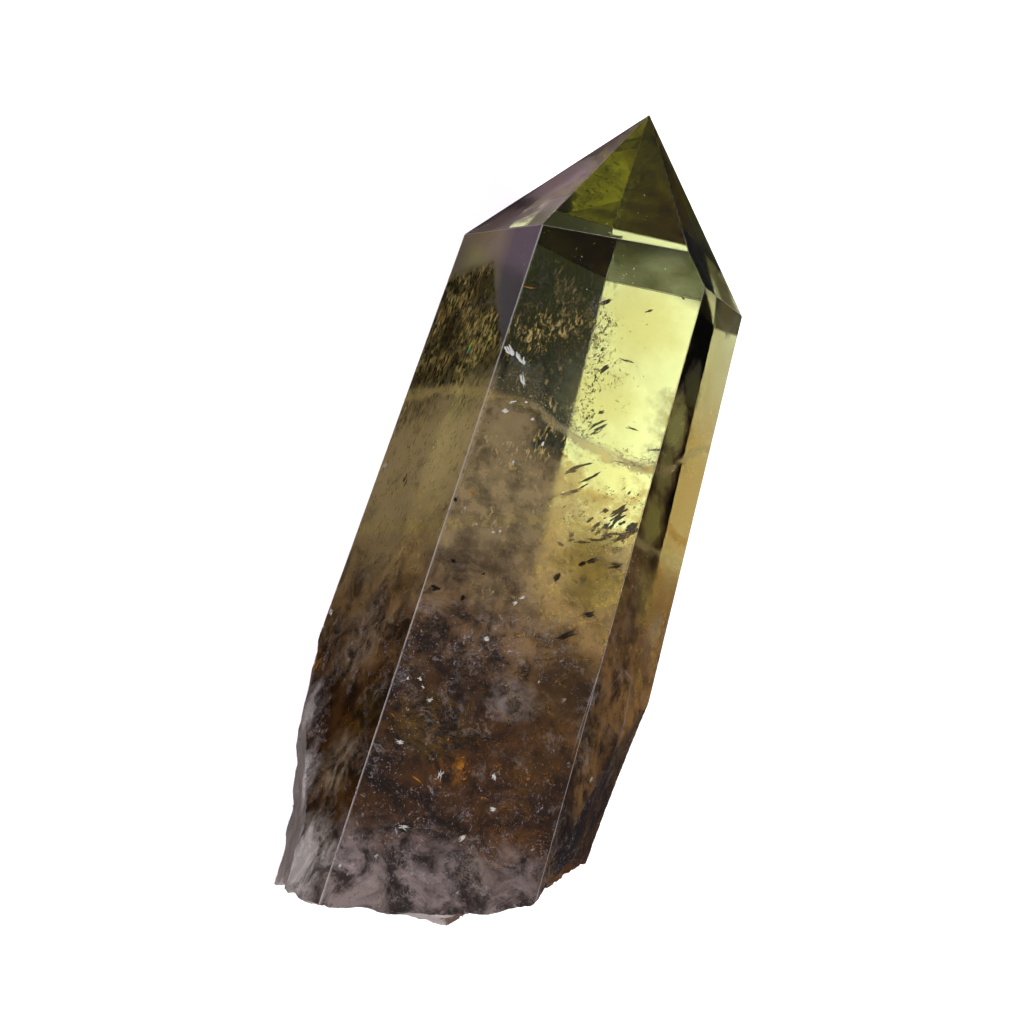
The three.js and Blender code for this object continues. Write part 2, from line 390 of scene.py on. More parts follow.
def flecks(rng, pixels, deep, sizes, lean, lie, ior):
    """Grains that show at these picture points, at these depths under the face that each sight line
    enters. A grain's long axis follows its lean in the picture. It lies flat to the face, to a
    mirror plane that shows the lit floor, or to nothing. Grains at a face follow its broken places.
    Deeper ones stay in the first 95 percent of their sight line's way through the crystal, and are
    left out where a broken place cuts off a point 3 percent further out."""
    enters, normal, bent, length = sight_lines(pixels, ior)
    on_face = (deep <= SKIN)[:, None]
    inner = enters + bent * np.minimum(deep, 0.95 * length)[:, None]
    points = np.where(on_face, carve(enters, 0.0)[0] - normal * deep[:, None], inner)
    uncut = carve(HEART + (inner - HEART) * 1.03, 0.0)[1] == 0
    kept = (length > 0) & (on_face[:, 0] | uncut)
    right, up, _ = camera_axes()
    turn = np.radians(lean)[:, None]
    ways = {"face": normal, "mirror": LIT_FLOOR_WAY - bent, "any": rng.normal(0, 1, normal.shape)}
    flat_axis = unit(ways[lie]) + rng.normal(0, 0.12, normal.shape)
    long_axis = np.cos(turn) * right + np.sin(turn) * up
    return points[kept], long_axis[kept], flat_axis[kept], sizes[kept]


def cloud_grains(rng, cloud, ior):
    """One cloud of grains. Clump centres lie along the cloud's line, scattered by its spread, and
    each grain lies near one centre."""
    path, spread, depth, count, clumps, clump_size, half, stretch, lean, lie = cloud
    centre = along_path(path, rng.random(clumps)) + rng.normal(0, 1, (clumps, 2)) * spread
    which, loose = rng.integers(0, clumps, count), rng.uniform(0.2, 1.6, (clumps, 1))
    pixels = centre[which] + rng.normal(0, 1, (count, 2)) * clump_size * loose[which]
    deep = rng.uniform(*depth, clumps)[which] * rng.uniform(0.85, 1.15, count)
    sizes = grain_sizes(rng, count, half, stretch)
    turn = rng.normal(*lean, clumps)[which] + rng.normal(0, 12, count)
    return flecks(rng, pixels, deep, sizes, turn, lie, ior)


def mark_grains(rng, marks, lie, ior):
    """Marks, each an ellipse in the picture filled with grains: place, half length, half width and
    lean in the picture, depth, and how many grains. One grain takes the whole ellipse, and more of
    them share it, each as much smaller as the root of their number."""
    x, y, half_length, half_width, lean, deep, count = np.array(marks, float).T
    row = np.repeat(np.arange(len(marks)), count.astype(int))
    share = np.where(count > 1, 1.5 / np.sqrt(count), 1.0)[row]
    radius, angle = np.sqrt(rng.random(len(row))), rng.uniform(0, 2 * np.pi, len(row))
    out = radius * (1 - np.minimum(share, 1)) * 1.2
    along, beside = out * np.cos(angle) * half_length[row], out * np.sin(angle) * half_width[row]
    turn = np.radians(lean[row])
    pixels = np.column_stack([x[row] + along * np.cos(turn) + beside * np.sin(turn),
                              y[row] - along * np.sin(turn) + beside * np.cos(turn)])
    swell = np.where(count[row] > 1, rng.uniform(0.5, 1.3, len(row)), 1.0)
    sizes = np.column_stack([half_length[row], half_width[row], 0.25 * half_width[row]])
    sizes = sizes * (share * swell * MM_PER_PIXEL)[:, None]
    jitter = np.where(count[row] > 1, rng.normal(0, 14, len(row)), 0.0)
    depths = deep[row] * rng.uniform(0.9, 1.1, len(row))
    return flecks(rng, pixels, depths, sizes, lean[row] + jitter, lie, ior)


def hidden_grains(rng, count, lowest, highest, depth, half, stretch):
    """Grains on and under the faces that the camera doesn't see, in clumps, between two heights.
    Grains that their clump carries past another face are left out."""
    _, _, back = camera_axes()
    points, normal = hull_points(rng, 2 * count // GRAINS_PER_CLUMP, lowest, highest)
    away = normal @ back < 0
    points, normal = (np.repeat(rows[away], GRAINS_PER_CLUMP, 0) for rows in (points, normal))
    points = points + np.cross(normal, rng.normal(0, CLUMP_SPREAD, points.shape))
    normals, offsets = hull()
    within = (points @ normals.T <= offsets + SKIN).all(1)
    points, normal = points[within], normal[within]
    total = len(points)
    points = carve(points, 0.0)[0] - normal * rng.uniform(*depth, (total, 1))
    sizes = grain_sizes(rng, total, half, stretch)
    long_axis = rng.normal(0, 1, (total, 3)) + (0, 1, 0)
    return points, long_axis, normal + rng.normal(0, 0.2, (total, 3)), sizes


def slivers(rng, marks, ior, stray=5):
    """Curved slivers that lie in a face, as one mesh. A mark of several slivers sets them side by
    side over its width, with leans that stray by some degrees. A sliver's middle line is a shallow
    arc, its half width follows (1 - t^2)^0.7 with a ripple, and its section is a flat diamond."""
    x, y, half_length, half_width, lean, deep, count = np.array(marks, float).T
    row = np.repeat(np.arange(len(marks)), count.astype(int))
    place = np.concatenate([(np.arange(n) + 0.5) / n * 2 - 1 for n in count.astype(int)])
    turn = np.radians(lean[row])
    beside = place * half_width[row] * 0.8
    slide = rng.uniform(-0.35, 0.35, len(row)) * half_length[row] * (count[row] > 1)
    pixels = np.column_stack([x[row] + slide * np.cos(turn) + beside * np.sin(turn),
                              y[row] - slide * np.sin(turn) + beside * np.cos(turn)])
    sizes = np.column_stack([
        half_length[row] * rng.uniform(0.6, 1.1, len(row)), half_width[row] / count[row] ** 0.8,
        half_width[row] / count[row]]) * MM_PER_PIXEL
    leans = lean[row] + rng.normal(0, stray, len(row))
    centre, long_axis, flat_axis, sizes = flecks(rng, pixels, deep[row], sizes, leans, "face", ior)
    flat_axis = unit(flat_axis)
    side = unit(np.cross(flat_axis, long_axis))
    long_axis = np.cross(side, flat_axis)
    t = np.linspace(-1, 1, SLIVER_RINGS)
    bend, phase = rng.normal(0, 0.09, len(centre)), rng.uniform(0, 6.3, len(centre))
    ripple = 1 + 0.35 * np.sin(5 * t + phase[:, None])
    width = sizes[:, 1:2] * (np.maximum(1 - t ** 2, 0.002) ** 0.7) * ripple
    middle = (centre[:, None] + long_axis[:, None] * (sizes[:, :1] * t)[..., None]
              + side[:, None] * (sizes[:, :1] * bend[:, None] * (t ** 2 - 0.4))[..., None])
    out = side[:, None] * width[..., None]
    lift = flat_axis[:, None] * np.minimum(0.4 * width, 0.05)[..., None]
    rings = np.stack([middle + out, middle + lift, middle - out, middle - lift], 2)
    at = np.arange(rings.size // 3).reshape(-1, SLIVER_RINGS, 4)
    low, high = at[:, :-1], at[:, 1:]
    quads = np.stack([low, np.roll(low, -1, 2), np.roll(high, -1, 2), high], -1).reshape(-1, 4)
    return rings.reshape(-1, 3), quads.tolist() + at[:, 0, ::-1].tolist() + at[:, -1].tolist()


def joined(*parts):
    """Several meshes' points and faces as one."""
    starts = np.cumsum([0] + [len(points) for points, _ in parts[:-1]])
    faces = [[corner + start for corner in face]
             for (_, rows), start in zip(parts, starts) for face in rows]
    return np.vstack([points for points, _ in parts]), faces


def fleck_mesh(seed, ior, clouds=(), marks=(), lie="face", hidden=None):
    """All the grains of some clouds and marks, and of the hidden faces, in one mesh."""
    rng = np.random.default_rng(seed)
    sets = [cloud_grains(rng, cloud, ior) for cloud in clouds]
    if marks:
        sets.append(mark_grains(rng, marks, lie, ior))
    if hidden:
        sets.append(hidden_grains(rng, *hidden))
    return grains(*(np.vstack(column) for column in zip(*sets)))


def ridges(lines, half, ior):
    """Low ridges on the faces along broken lines in the picture, as one mesh: a line's points are
    set on the face, and a ridge has three corners round each, two on the face and one above it."""
    points, faces = [], []
    for line in lines:
        shares = np.linspace(0, 1, RIDGE_RINGS)
        enters, normal, _, _ = sight_lines(along_path(line, shares), ior)
        spine = carve(enters, 0.0)[0]
        side = unit(np.cross(np.gradient(spine, axis=0), normal))
        width = half * np.sin(np.pi * np.clip(shares, 0.02, 0.98))[:, None] ** 0.5
        sunk = spine - normal * width * 0.5
        rings = np.stack([sunk - side * width, sunk + side * width, spine + normal * width * 0.6], 1)
        start = sum(len(p) for p in points)
        at = start + np.arange(3 * RIDGE_RINGS).reshape(-1, 3)
        low, high = at[:-1], at[1:]
        quads = np.stack([low, np.roll(low, -1, 1), np.roll(high, -1, 1), high], -1).reshape(-1, 4)
        points.append(rings.reshape(-1, 3))
        faces += quads.tolist() + [at[0][::-1].tolist(), at[-1].tolist()]
    return np.vstack(points), faces


# ------------------------------------------------------------------ materials

LAYERS_REACH = 0.06  # the colour ramp runs this far along the crystal either way, in metres
# Patches of colour under the faces: the picture point that each shows at, its radius in
# millimetres, its strength, the share of light that it scatters at least, and its colour.
PATCHES = (
    (430, 725, 5.5, 0.8, 0.0, "#70541A"),  # iron stain, left
    (545, 775, 4.5, 0.7, 0.0, "#5A3E14"),  # iron stain, middle
    (457, 770, 2.4, 0.8, 0.0, "#A86A1C"),
    (370, 705, 4.0, 0.7, 0.0, "#6E5824"),  # iron stain on the left face
    (364, 640, 6.0, 0.9, 0.0, "#A88C70"),
    (600, 590, 4.5, 0.6, 0.0, "#8C7A30"),  # lemon left in the smoke
    (590, 560, 5.0, 0.9, 0.0, "#7A6428"),
    (515, 700, 3.6, 0.7, 0.0, "#A09290"),  # milk in the smoke
    (655, 630, 2.6, 0.6, 0.0, "#A89078"),  # milk on the top face
    (572, 690, 6.0, 1.0, 0.0, "#463012"),  # smoke at the right
    (565, 800, 5.0, 0.85, 0.0, "#24140A"),  # dark smoke above the heel
    (565, 855, 6.0, 1.0, 0.0, "#24120C"),
    (590, 850, 6.0, 1.0, 0.0, "#3A2014"),
    (605, 800, 6.0, 0.9, 0.0, "#583218"),
    (338, 765, 5.0, 0.9, 0.0, "#B49A80"),
    (300, 862, 7.0, 1.0, 0.95, "#FFF2EE"),  # milk at the left corner
    (318, 868, 5.0, 0.9, 0.85, "#F6E8E4"),
    (400, 890, 5.0, 0.6, 0.0, "#B8A8A4"),
    (480, 885, 5.0, 0.5, 0.0, "#B0A09C"),
    (298, 780, 5.0, 1.0, 0.95, "#EADCDA"),  # chipped strip on the left face
    (308, 710, 4.0, 1.0, 0.9, "#DCCECC"),
    (693, 388, 3.4, 1.0, 0.3, "#7C7A40"),  # haze on the top face
    (676, 425, 5.0, 1.0, 0.55, "#B8B060"),
    (665, 470, 4.5, 1.0, 0.5, "#988C48"),
    (652, 525, 5.0, 1.0, 0.5, "#AC9C4A"),
    (645, 590, 4.5, 0.8, 0.5, "#B89C50"),
    (714, 272, 8.0, 1.0, 0.1, "#3C3A18"),  # iron stain on the top termination face
    (508, 214, 5.0, 0.9, 0.0, "#7A7040"),  # and on the left one
    (730, 306, 4.0, 1.0, 0.6, "#7A6A3C"),  # film low on the top termination face
    (722, 284, 3.0, 1.0, 0.6, "#6E6434"),
    (528, 213, 3.6, 1.0, 0.6, "#6E6444"),  # film on the left termination face
    (494, 226, 5.0, 1.0, 0.5, "#82743C"),
    (560, 180, 5.5, 1.0, 0.5, "#827A3C"),
    (610, 475, 5.0, 0.5, 0.0, "#E8D890"),  # deeper lemon low in the window
    (600, 396, 7.0, 1.0, 0.12, "#E8E4A8"),  # thin haze in the window
    (640, 322, 7.0, 1.0, 0.06, "#E8E4A8"),
    (350, 890, 6.0, 1.0, 0.75, "#B09C98"),  # milk along the broken base
    (430, 880, 7.0, 1.0, 0.7, "#A08C88"),
    (510, 888, 6.0, 1.0, 0.7, "#9A8480"),
    (520, 385, 3.5, 1.0, 0.25, "#8A805C"),
)
# The two healed veils: how far each lies along the crystal at places across it, in millimetres, and
# the share of light that it scatters. Their curves lie in a box from VEIL_LEFT and VEIL_LOW.
VEIL_LEFT, VEIL_LOW, VEIL_WIDTH, VEIL_HEIGHT = -10, -10, 34, 30
VEIL_BANDS = (
    (((-9, 10.5), (-6, 9.8), (-3.4, 8.6), (1.5, 8.9), (5.3, 7.4), (9.1, 6.4), (16.6, 6.4), (18, 7.3),
      (20.8, 11.6), (23, 14)), 0.55),
    (((-9, -6.3), (-4.6, -7.1), (0, -5.6), (6.1, -3.4), (12.6, -2.4), (17.3, -1.9), (23, 0)), 0.5),
)


def add_node(tree, kind, inputs=None, **settings):
    """Adds one shader node with its settings. A value in inputs is a node or socket to link, a
    colour, or the socket's own value."""
    made = tree.nodes.new("ShaderNode" + kind)
    for key, value in settings.items():
        setattr(made, key, value)
    for key, value in (inputs or {}).items():
        if isinstance(value, bpy.types.Node):
            value = next(socket for socket in value.outputs if socket.enabled)
        if isinstance(value, bpy.types.NodeSocket):
            tree.links.new(value, made.inputs[key])
        elif made.inputs[key].type == "RGBA":
            made.inputs[key].default_value = (*value, 1)
        else:
            made.inputs[key].default_value = value
    return made


def new_material(name):
    """An empty node material, and add_node for its tree."""
    material = bpy.data.materials.new(name)
    material.use_nodes = True
    material.node_tree.nodes.clear()
    return material, partial(add_node, material.node_tree)


def near_face(node, place, face, deep, shallow):
    """A mask that rises from 0 to 1 between two depths under a face, in millimetres."""
    normal, offset = face
    height = node("VectorMath", {0: place, 1: tuple(normal)}, operation="DOT_PRODUCT").outputs["Value"]
    return node("MapRange", {
        "Value": height, "From Min": (offset - deep) * MM, "From Max": (offset - shallow) * MM})


def grown_quartz(s):
    """Natural quartz. Grown prism and termination faces are glassy and see-through. Broken and worn
    places are rough and frosted. The eye sees clear lemon light through the tip, then a turbid smoky
    brown with clouds in it, and a grey-lilac milkiness at the base."""
    material, node = new_material("grown lemon quartz")
    place = node("TexCoord").outputs["Object"]
    broken = node("Attribute", attribute_name="broken").outputs["Fac"]
    worn = node("Attribute", attribute_name="worn").outputs["Fac"]
    inside = node("NewGeometry").outputs["Backfacing"]

    # Along the crystal and across its upper left face, in metres. Clouds about 5 mm across push the
    # growth layers up and down by about 3 mm.
    along = node("SeparateXYZ", {"Vector": place}).outputs["Y"]
    across = node("VectorMath", {0: place, 1: ACROSS}, operation="DOT_PRODUCT").outputs["Value"]
    clouds = node("TexNoise", {"Vector": place, "Scale": 1 / 0.005, "Detail": 4.0})
    push = node("Math", {0: clouds, 1: 0.014, 2: -0.007}, operation="MULTIPLY_ADD")
    layer = node("Math", {0: along, 1: push}, operation="ADD")

    fray = node("TexNoise", {"Vector": place, "Scale": 1 / 0.002, "Detail": 6.0, "Roughness": 0.65})
    torn = node("Math", {0: fray, 1: 0.016, 2: -0.008}, operation="MULTIPLY_ADD")
    edge = node("Math", {0: layer, 1: torn}, operation="ADD")

    # Where it is turbid. On the left haze begins under the upper veil, and on the right it begins
    # lower, so a clear window stays open between the two. Below that comes thick smoke.
    slanted = node("Math", {0: edge, 1: 0.85, 2: across}, operation="MULTIPLY_ADD")
    right = node("MapRange", {
        "Value": slanted, "From Min": s.window_edge - 0.004, "From Max": s.window_edge + 0.003},
        interpolation_type="SMOOTHSTEP")
    high = node("MapRange", {
        "Value": edge, "From Min": s.haze_top + 0.006, "From Max": s.haze_top - 0.006},
        interpolation_type="SMOOTHSTEP")
    low = node("MapRange", {
        "Value": edge, "From Min": s.window_foot + 0.004, "From Max": s.window_foot - 0.006},
        interpolation_type="SMOOTHSTEP")
    hazy = node("Mix", {"Factor": right, "A": high, "B": low}, data_type="FLOAT")
    smoky = node("MapRange", {
        "Value": layer, "From Min": s.smoke_top + 0.006, "From Max": s.smoke_top - 0.006,
        "To Max": s.turbid - 0.9 * s.haze}, interpolation_type="SMOOTHSTEP")
    uneven_haze = node("MapRange", {
        "Value": fray, "From Min": 0.35, "From Max": 0.65, "To Min": 0.45 * s.haze, "To Max": 1.3 * s.haze})
    thick = node("Math", {0: hazy, 1: uneven_haze, 2: smoky}, operation="MULTIPLY_ADD")

    # The left face and the quartz left of the window are dark, with short golden feathers about
    # 0.4 mm wide and 1.1 mm long, in swarms of about 5 mm. The left face's top and a strip along its
    # upper edge are smooth, under a painted sheen: a painted reflection.
    on_left = near_face(node, place, LEFT_FACE, 1.2, 0.3)
    smooth_strip = node("MapRange", {
        "Value": across, "From Min": -0.0065, "From Max": -0.0032, "To Max": 0.0125})
    from_top = node("Math", {0: along, 1: smooth_strip}, operation="ADD")
    frayed_top = node("Math", {0: fray, 1: 0.004, 2: from_top}, operation="MULTIPLY_ADD")
    below = node("MapRange", {"Value": frayed_top, "From Min": 0.0289, "From Max": 0.0275})
    stretched = node("VectorMath", {
        0: place, 1: (1 / 0.0004, 1 / 0.0011, 1 / 0.0004)}, operation="MULTIPLY")
    feathers = node("TexNoise", {
        "Vector": stretched, "Scale": 1.0, "Detail": 6.0, "Roughness": 0.7, "Distortion": 0.6})
    streaked = node("MapRange", {
        "Value": feathers, "From Min": 0.35, "From Max": 0.62,
        "To Min": 0.65 * s.streaks, "To Max": s.streaks})
    on_left_below = node("Math", {0: on_left, 1: below}, operation="MULTIPLY")
    left_haze = node("Math", {0: on_left_below, 1: streaked}, operation="MULTIPLY")
    below_edge = node("MapRange", {"Value": along, "From Min": 0.0125, "From Max": 0.0150})
    on_left_face = near_face(node, place, LEFT_FACE, 0.15, 0.05)
    above_feathers = node("Math", {0: 1.0, 1: below}, operation="SUBTRACT")
    # Painted sheen: a painted reflection on the left face's smooth top, scattering the film share.
    painted_sheen_zone = node("Math", {0: above_feathers, 1: below_edge}, operation="MULTIPLY")
    painted_sheen_area = node("Math", {0: painted_sheen_zone, 1: on_left_face}, operation="MULTIPLY")
    painted_sheen_scatter = node("Math", {0: painted_sheen_area, 1: s.film}, operation="MULTIPLY")
    ragged = node("Math", {0: fray, 1: 0.012, 2: across}, operation="MULTIPLY_ADD")
    left_of_window = node("MapRange", {"Value": ragged, "From Min": 0.0135, "From Max": 0.0105})
    under_top = node("MapRange", {"Value": edge, "From Min": 0.027, "From Max": 0.019, "To Max": 0.85})
    golden = node("MapRange", {"Value": feathers, "From Min": 0.5, "From Max": 0.6})
    swarms = node("MapRange", {"Value": clouds, "From Min": 0.42, "From Max": 0.56, "To Min": 0.15})
    gold_zone = node("Math", {0: left_of_window, 1: under_top}, operation="MULTIPLY")
    gold_swarms = node("Math", {0: golden, 1: swarms}, operation="MULTIPLY")
    gold_haze = node("Math", {0: gold_zone, 1: gold_swarms}, operation="MULTIPLY")
    painted_sheen_or_feathers = node("Math", {0: left_haze, 1: painted_sheen_scatter}, operation="ADD")
    covered_left = node("Math", {0: painted_sheen_or_feathers, 1: gold_haze}, operation="MAXIMUM")
    thicker = node("Math", {0: thick, 1: covered_left}, operation="MAXIMUM")

    # Cloudy patches of painted shade on the lower right termination face darken what shows through.
    on_shaded_cap = near_face(node, place, SHADED_CAP_FACE, 0.12, 0.04)
    stained = node("MapRange", {"Value": clouds, "From Min": 0.35, "From Max": 0.6, "To Min": 0.95})
    cap_shade_share = node("Math", {0: on_shaded_cap, 1: stained}, operation="MULTIPLY")

    # Colour by layer: milky base, dark smoke, warm smoke, then haze.
    height = node("MapRange", {"Value": layer, "From Min": -LAYERS_REACH, "From Max": LAYERS_REACH})
    depths = node("ValToRGB", {"Fac": height})
    stops = depths.color_ramp.elements
    stops.remove(stops[1])
    stops[0].position, stops[0].color = 0.0, (*s.milk_colour, 1)
    for place_y, colour in ((-0.046, s.milk_colour), (-0.041, s.deep_colour), (-0.026, s.deep_colour),
                            (-0.016, s.smoke_colour), (-0.005, s.haze_colour)):
        stops.new((place_y + LAYERS_REACH) / (2 * LAYERS_REACH)).color = (*colour, 1)
    in_haze = node("MapRange", {"Value": hazy, "From Max": 0.35})
    tint = node("Mix", {"Factor": in_haze, "A": s.lemon_colour, "B": depths}, data_type="RGBA")
    olive = node("MapRange", {"Value": thick, "From Min": 0.45, "From Max": 0.1})
    gold_there = node("MapRange", {"Value": gold_haze, "From Max": 0.1})
    below_top = node("MapRange", {"Value": on_left_below, "From Max": 0.04})
    dark_zone = node("Math", {0: below_top, 1: gold_there}, operation="MAXIMUM")
    on_left_olive = node("Math", {0: dark_zone, 1: olive}, operation="MULTIPLY")
    olive_gold = node("Mix", {
        "Factor": gold_swarms, "A": s.olive_colour, "B": s.gold_colour}, data_type="RGBA")
    shade = node("Mix", {"Factor": on_left_olive, "A": tint, "B": olive_gold}, data_type="RGBA")
    shade = node("Mix", {"Factor": cap_shade_share, "A": shade, "B": s.cap_shade_colour}, data_type="RGBA")

    # The top face is stained brown, more so lower down.
    on_top = near_face(node, place, TOP_FACE, 0.15, 0.05)
    lower_down = node("MapRange", {
        "Value": layer, "From Min": 0.030, "From Max": 0.014, "To Min": 0.5, "To Max": 1.0})
    top_stain = node("Math", {0: on_top, 1: lower_down}, operation="MULTIPLY")
    shade = node("Mix", {"Factor": top_stain, "A": shade, "B": s.stain_colour}, data_type="RGBA")

    # The left face's smooth part shows a painted reflection, darker along its upper edge.
    painted_sheen_edge_share = node("MapRange", {"Value": across, "From Min": -0.0064, "From Max": -0.0052})
    painted_sheen_tint = node("Mix", {
        "Factor": painted_sheen_edge_share, "A": s.painted_sheen_colour, "B": s.painted_sheen_edge_colour}, data_type="RGBA")
    shade = node("Mix", {"Factor": painted_sheen_area, "A": shade, "B": painted_sheen_tint}, data_type="RGBA")

    # Patches of iron stain, milk and dark smoke, each a ball round a place on a face, frayed by
    # noise of about 2 mm.
    frayed = node("VectorMath", {
        0: fray.outputs["Color"], 1: (0.006, 0.006, 0.006), 2: place}, operation="MULTIPLY_ADD")
    spots = carve(sight_lines([row[:2] for row in PATCHES], s.ior)[0], 0.0)[0] * MM + 0.003
    for spot, (_, _, radius, strength, least, code) in zip(spots, PATCHES):
        distance = node("VectorMath", {0: frayed, 1: tuple(spot)}, operation="DISTANCE")
        share = node("MapRange", {
            "Value": distance.outputs["Value"], "From Min": radius * MM, "From Max": 0.3 * radius * MM,
            "To Max": strength}, interpolation_type="SMOOTHSTEP")
        shade = node("Mix", {"Factor": share, "A": shade, "B": linear(code)}, data_type="RGBA")
        if least:
            milky = node("Math", {0: share, 1: least}, operation="MULTIPLY")
            thicker = node("Math", {0: thicker, 1: milky}, operation="MAXIMUM")

    # Each veil is a frayed sheet about 1 mm thick that cuts through the crystal and shows as a pale
    # band on its faces.
    for path, strength in VEIL_BANDS:
        way = node("MapRange", {
            "Value": across, "From Min": VEIL_LEFT * MM, "From Max": (VEIL_LEFT + VEIL_WIDTH) * MM})
        curve = node("FloatCurve", {"Value": way})
        knots = curve.mapping.curves[0].points
        places = [((x - VEIL_LEFT) / VEIL_WIDTH, (y - VEIL_LOW) / VEIL_HEIGHT) for x, y in path]
        for knot, place_in_box in zip(list(knots), (places[0], places[-1])):
            knot.location = place_in_box
        for place_in_box in places[1:-1]:
            knots.new(*place_in_box)
        curve.mapping.update()
        sheet = node("Math", {
            0: curve, 1: -VEIL_HEIGHT * MM, 2: -VEIL_LOW * MM}, operation="MULTIPLY_ADD")
        above = node("Math", {0: along, 1: sheet}, operation="ADD")
        frayed_gap = node("Math", {0: fray, 1: 0.0024, 2: above}, operation="MULTIPLY_ADD")
        centred = node("Math", {0: frayed_gap, 1: 0.0012}, operation="SUBTRACT")
        apart = node("Math", {0: centred}, operation="ABSOLUTE")
        gap = node("MapRange", {"Value": apart, "From Min": 0.0009, "From Max": 0.0003})
        soft = node("MapRange", {"Value": fray, "From Min": 0.35, "From Max": 0.6, "To Min": 0.4})
        band = node("Math", {0: gap, 1: soft}, operation="MULTIPLY")
        shade = node("Mix", {"Factor": band, "A": shade, "B": s.veil_colour}, data_type="RGBA")
        milky = node("Math", {0: band, 1: strength}, operation="MULTIPLY")
        thicker = node("Math", {0: thicker, 1: milky}, operation="MAXIMUM")

    # Light that is already inside runs on through the clear heart.
    let_in = node("MapRange", {"Value": inside, "To Min": 1.0, "To Max": 0.1})
    turbid = node("Math", {0: thicker, 1: let_in}, operation="MULTIPLY")

    # Dark feathery smoke in clouds of 4 mm. In clumps of 4 mm, pale veins where a noise passes its
    # middle, and white flecks of 0.4 mm.
    billows = node("TexNoise", {
        "Vector": place, "Scale": 1 / 0.0042, "Detail": 9.0, "Roughness": 0.78, "Distortion": 0.7})
    dark_share = node("MapRange", {
        "Value": billows, "From Min": 0.43, "From Max": 0.57, "To Max": 0.92})
    smoke_share = node("MapRange", {"Value": layer, "From Min": 0.001, "From Max": -0.018})
    in_smoke = node("Math", {0: smoke_share, 1: let_in}, operation="MULTIPLY")
    milkless = node("MapRange", {"Value": thicker, "From Min": 0.95, "From Max": 0.75, "To Min": 0.35})
    darkest = node("Math", {0: dark_share, 1: milkless}, operation="MULTIPLY")
    dark = node("Math", {0: darkest, 1: in_smoke}, operation="MULTIPLY")
    smoked = node("Mix", {"Factor": dark, "A": shade, "B": s.dark_colour}, data_type="RGBA")
    wisp_noise = node("TexNoise", {
        "Vector": place, "Scale": 1 / 0.0022, "Detail": 7.0, "Roughness": 0.72, "Distortion": 0.8})
    middle = node("Math", {0: wisp_noise, 1: 0.5}, operation="SUBTRACT")
    off_middle = node("Math", {0: middle}, operation="ABSOLUTE")
    veins = node("MapRange", {"Value": off_middle, "From Min": 0.028, "From Max": 0.0, "To Max": 0.7})
    fleck_noise = node("TexNoise", {
        "Vector": place, "Scale": 1 / 0.0004, "Detail": 3.0, "Roughness": 0.7, "Distortion": 0.8})
    flecks = node("MapRange", {"Value": fleck_noise, "From Min": 0.58, "From Max": 0.68, "To Max": 0.8})
    clump_noise = node("TexNoise", {
        "Vector": place, "Scale": 1 / 0.004, "Detail": 4.0, "Roughness": 0.6, "Distortion": 0.5})
    clumps = node("MapRange", {"Value": clump_noise, "From Min": 0.5, "From Max": 0.62})
    marked = node("Math", {0: flecks, 1: veins}, operation="MAXIMUM")
    clumped = node("Math", {0: marked, 1: clumps}, operation="MULTIPLY")
    pale_share = node("Math", {0: clumped, 1: in_smoke}, operation="MULTIPLY")
    hazed = node("Mix", {"Factor": pale_share, "A": smoked, "B": s.fleck_colour}, data_type="RGBA")

    # Broken surfaces scatter a share of the light, and the worn edges nearly all of it.
    open_frost = node("MapRange", {"Value": inside, "To Min": s.frost, "To Max": 0.3 * s.frost})
    broken_share = node("Math", {0: broken, 1: open_frost}, operation="MULTIPLY")
    worn_share = node("Math", {0: worn, 1: s.wear}, operation="MULTIPLY", use_clamp=True)
    frosted = node("Math", {0: broken_share, 1: worn_share}, operation="MAXIMUM")
    broken_tint = node("MapRange", {"Value": broken, "From Min": 0.5, "To Max": 0.6})
    whitened = node("Math", {0: broken_tint, 1: worn_share}, operation="MAXIMUM")
    colour = node("Mix", {"Factor": whitened, "A": hazed, "B": s.frost_colour}, data_type="RGBA")
    scatter = node("Math", {0: turbid, 1: frosted}, operation="MAXIMUM", use_clamp=True)
    clear = node("Math", {0: 1.0, 1: scatter}, operation="SUBTRACT")

    # Grown faces are glossy, with smears about 8 mm across. Turbid quartz blurs what is behind it.
    smear_noise = node("TexNoise", {"Vector": place, "Scale": 1 / 0.008, "Detail": 2.0})
    smears = node("MapRange", {"Value": smear_noise, "From Min": 0.5, "From Max": 0.75, "To Max": 0.03})
    blurred = node("Math", {0: turbid, 1: s.blur, 2: smears}, operation="MULTIPLY_ADD")
    uneven = node("MapRange", {"Value": broken, "From Max": 0.5})
    frost = node("Math", {0: uneven, 1: worn}, operation="MAXIMUM")
    rough = node("Mix", {"Factor": frost, "A": blurred, "B": s.broken_roughness}, data_type="FLOAT")
    grown = node("Math", {0: 1.0, 1: frost}, operation="SUBTRACT")
    covered = node("MapRange", {"Value": turbid, "From Max": 0.3})
    polish = node("Math", {0: grown, 1: covered}, operation="MULTIPLY")

    # Hackly relief on broken places: bumps about 0.8 mm across and 0.12 mm deep.
    hackles = node("TexNoise", {"Vector": place, "Scale": 1 / 0.0008, "Detail": 4.0})
    bumps = node("Math", {0: hackles, 1: frost}, operation="MULTIPLY")
    relief = node("Bump", {"Height": bumps, "Strength": 0.8, "Distance": 0.00012})

    shader = node("BsdfPrincipled", {
        "Base Color": colour, "Roughness": rough, "IOR": s.ior, "Transmission Weight": clear,
        "Coat Weight": polish, "Coat Roughness": 0.04, "Coat IOR": s.ior, "Normal": relief})
    absorb = node("VolumeAbsorption", {"Color": s.absorption_colour, "Density": s.absorption_density})
    node("OutputMaterial", {"Surface": shader, "Volume": absorb})
    return material


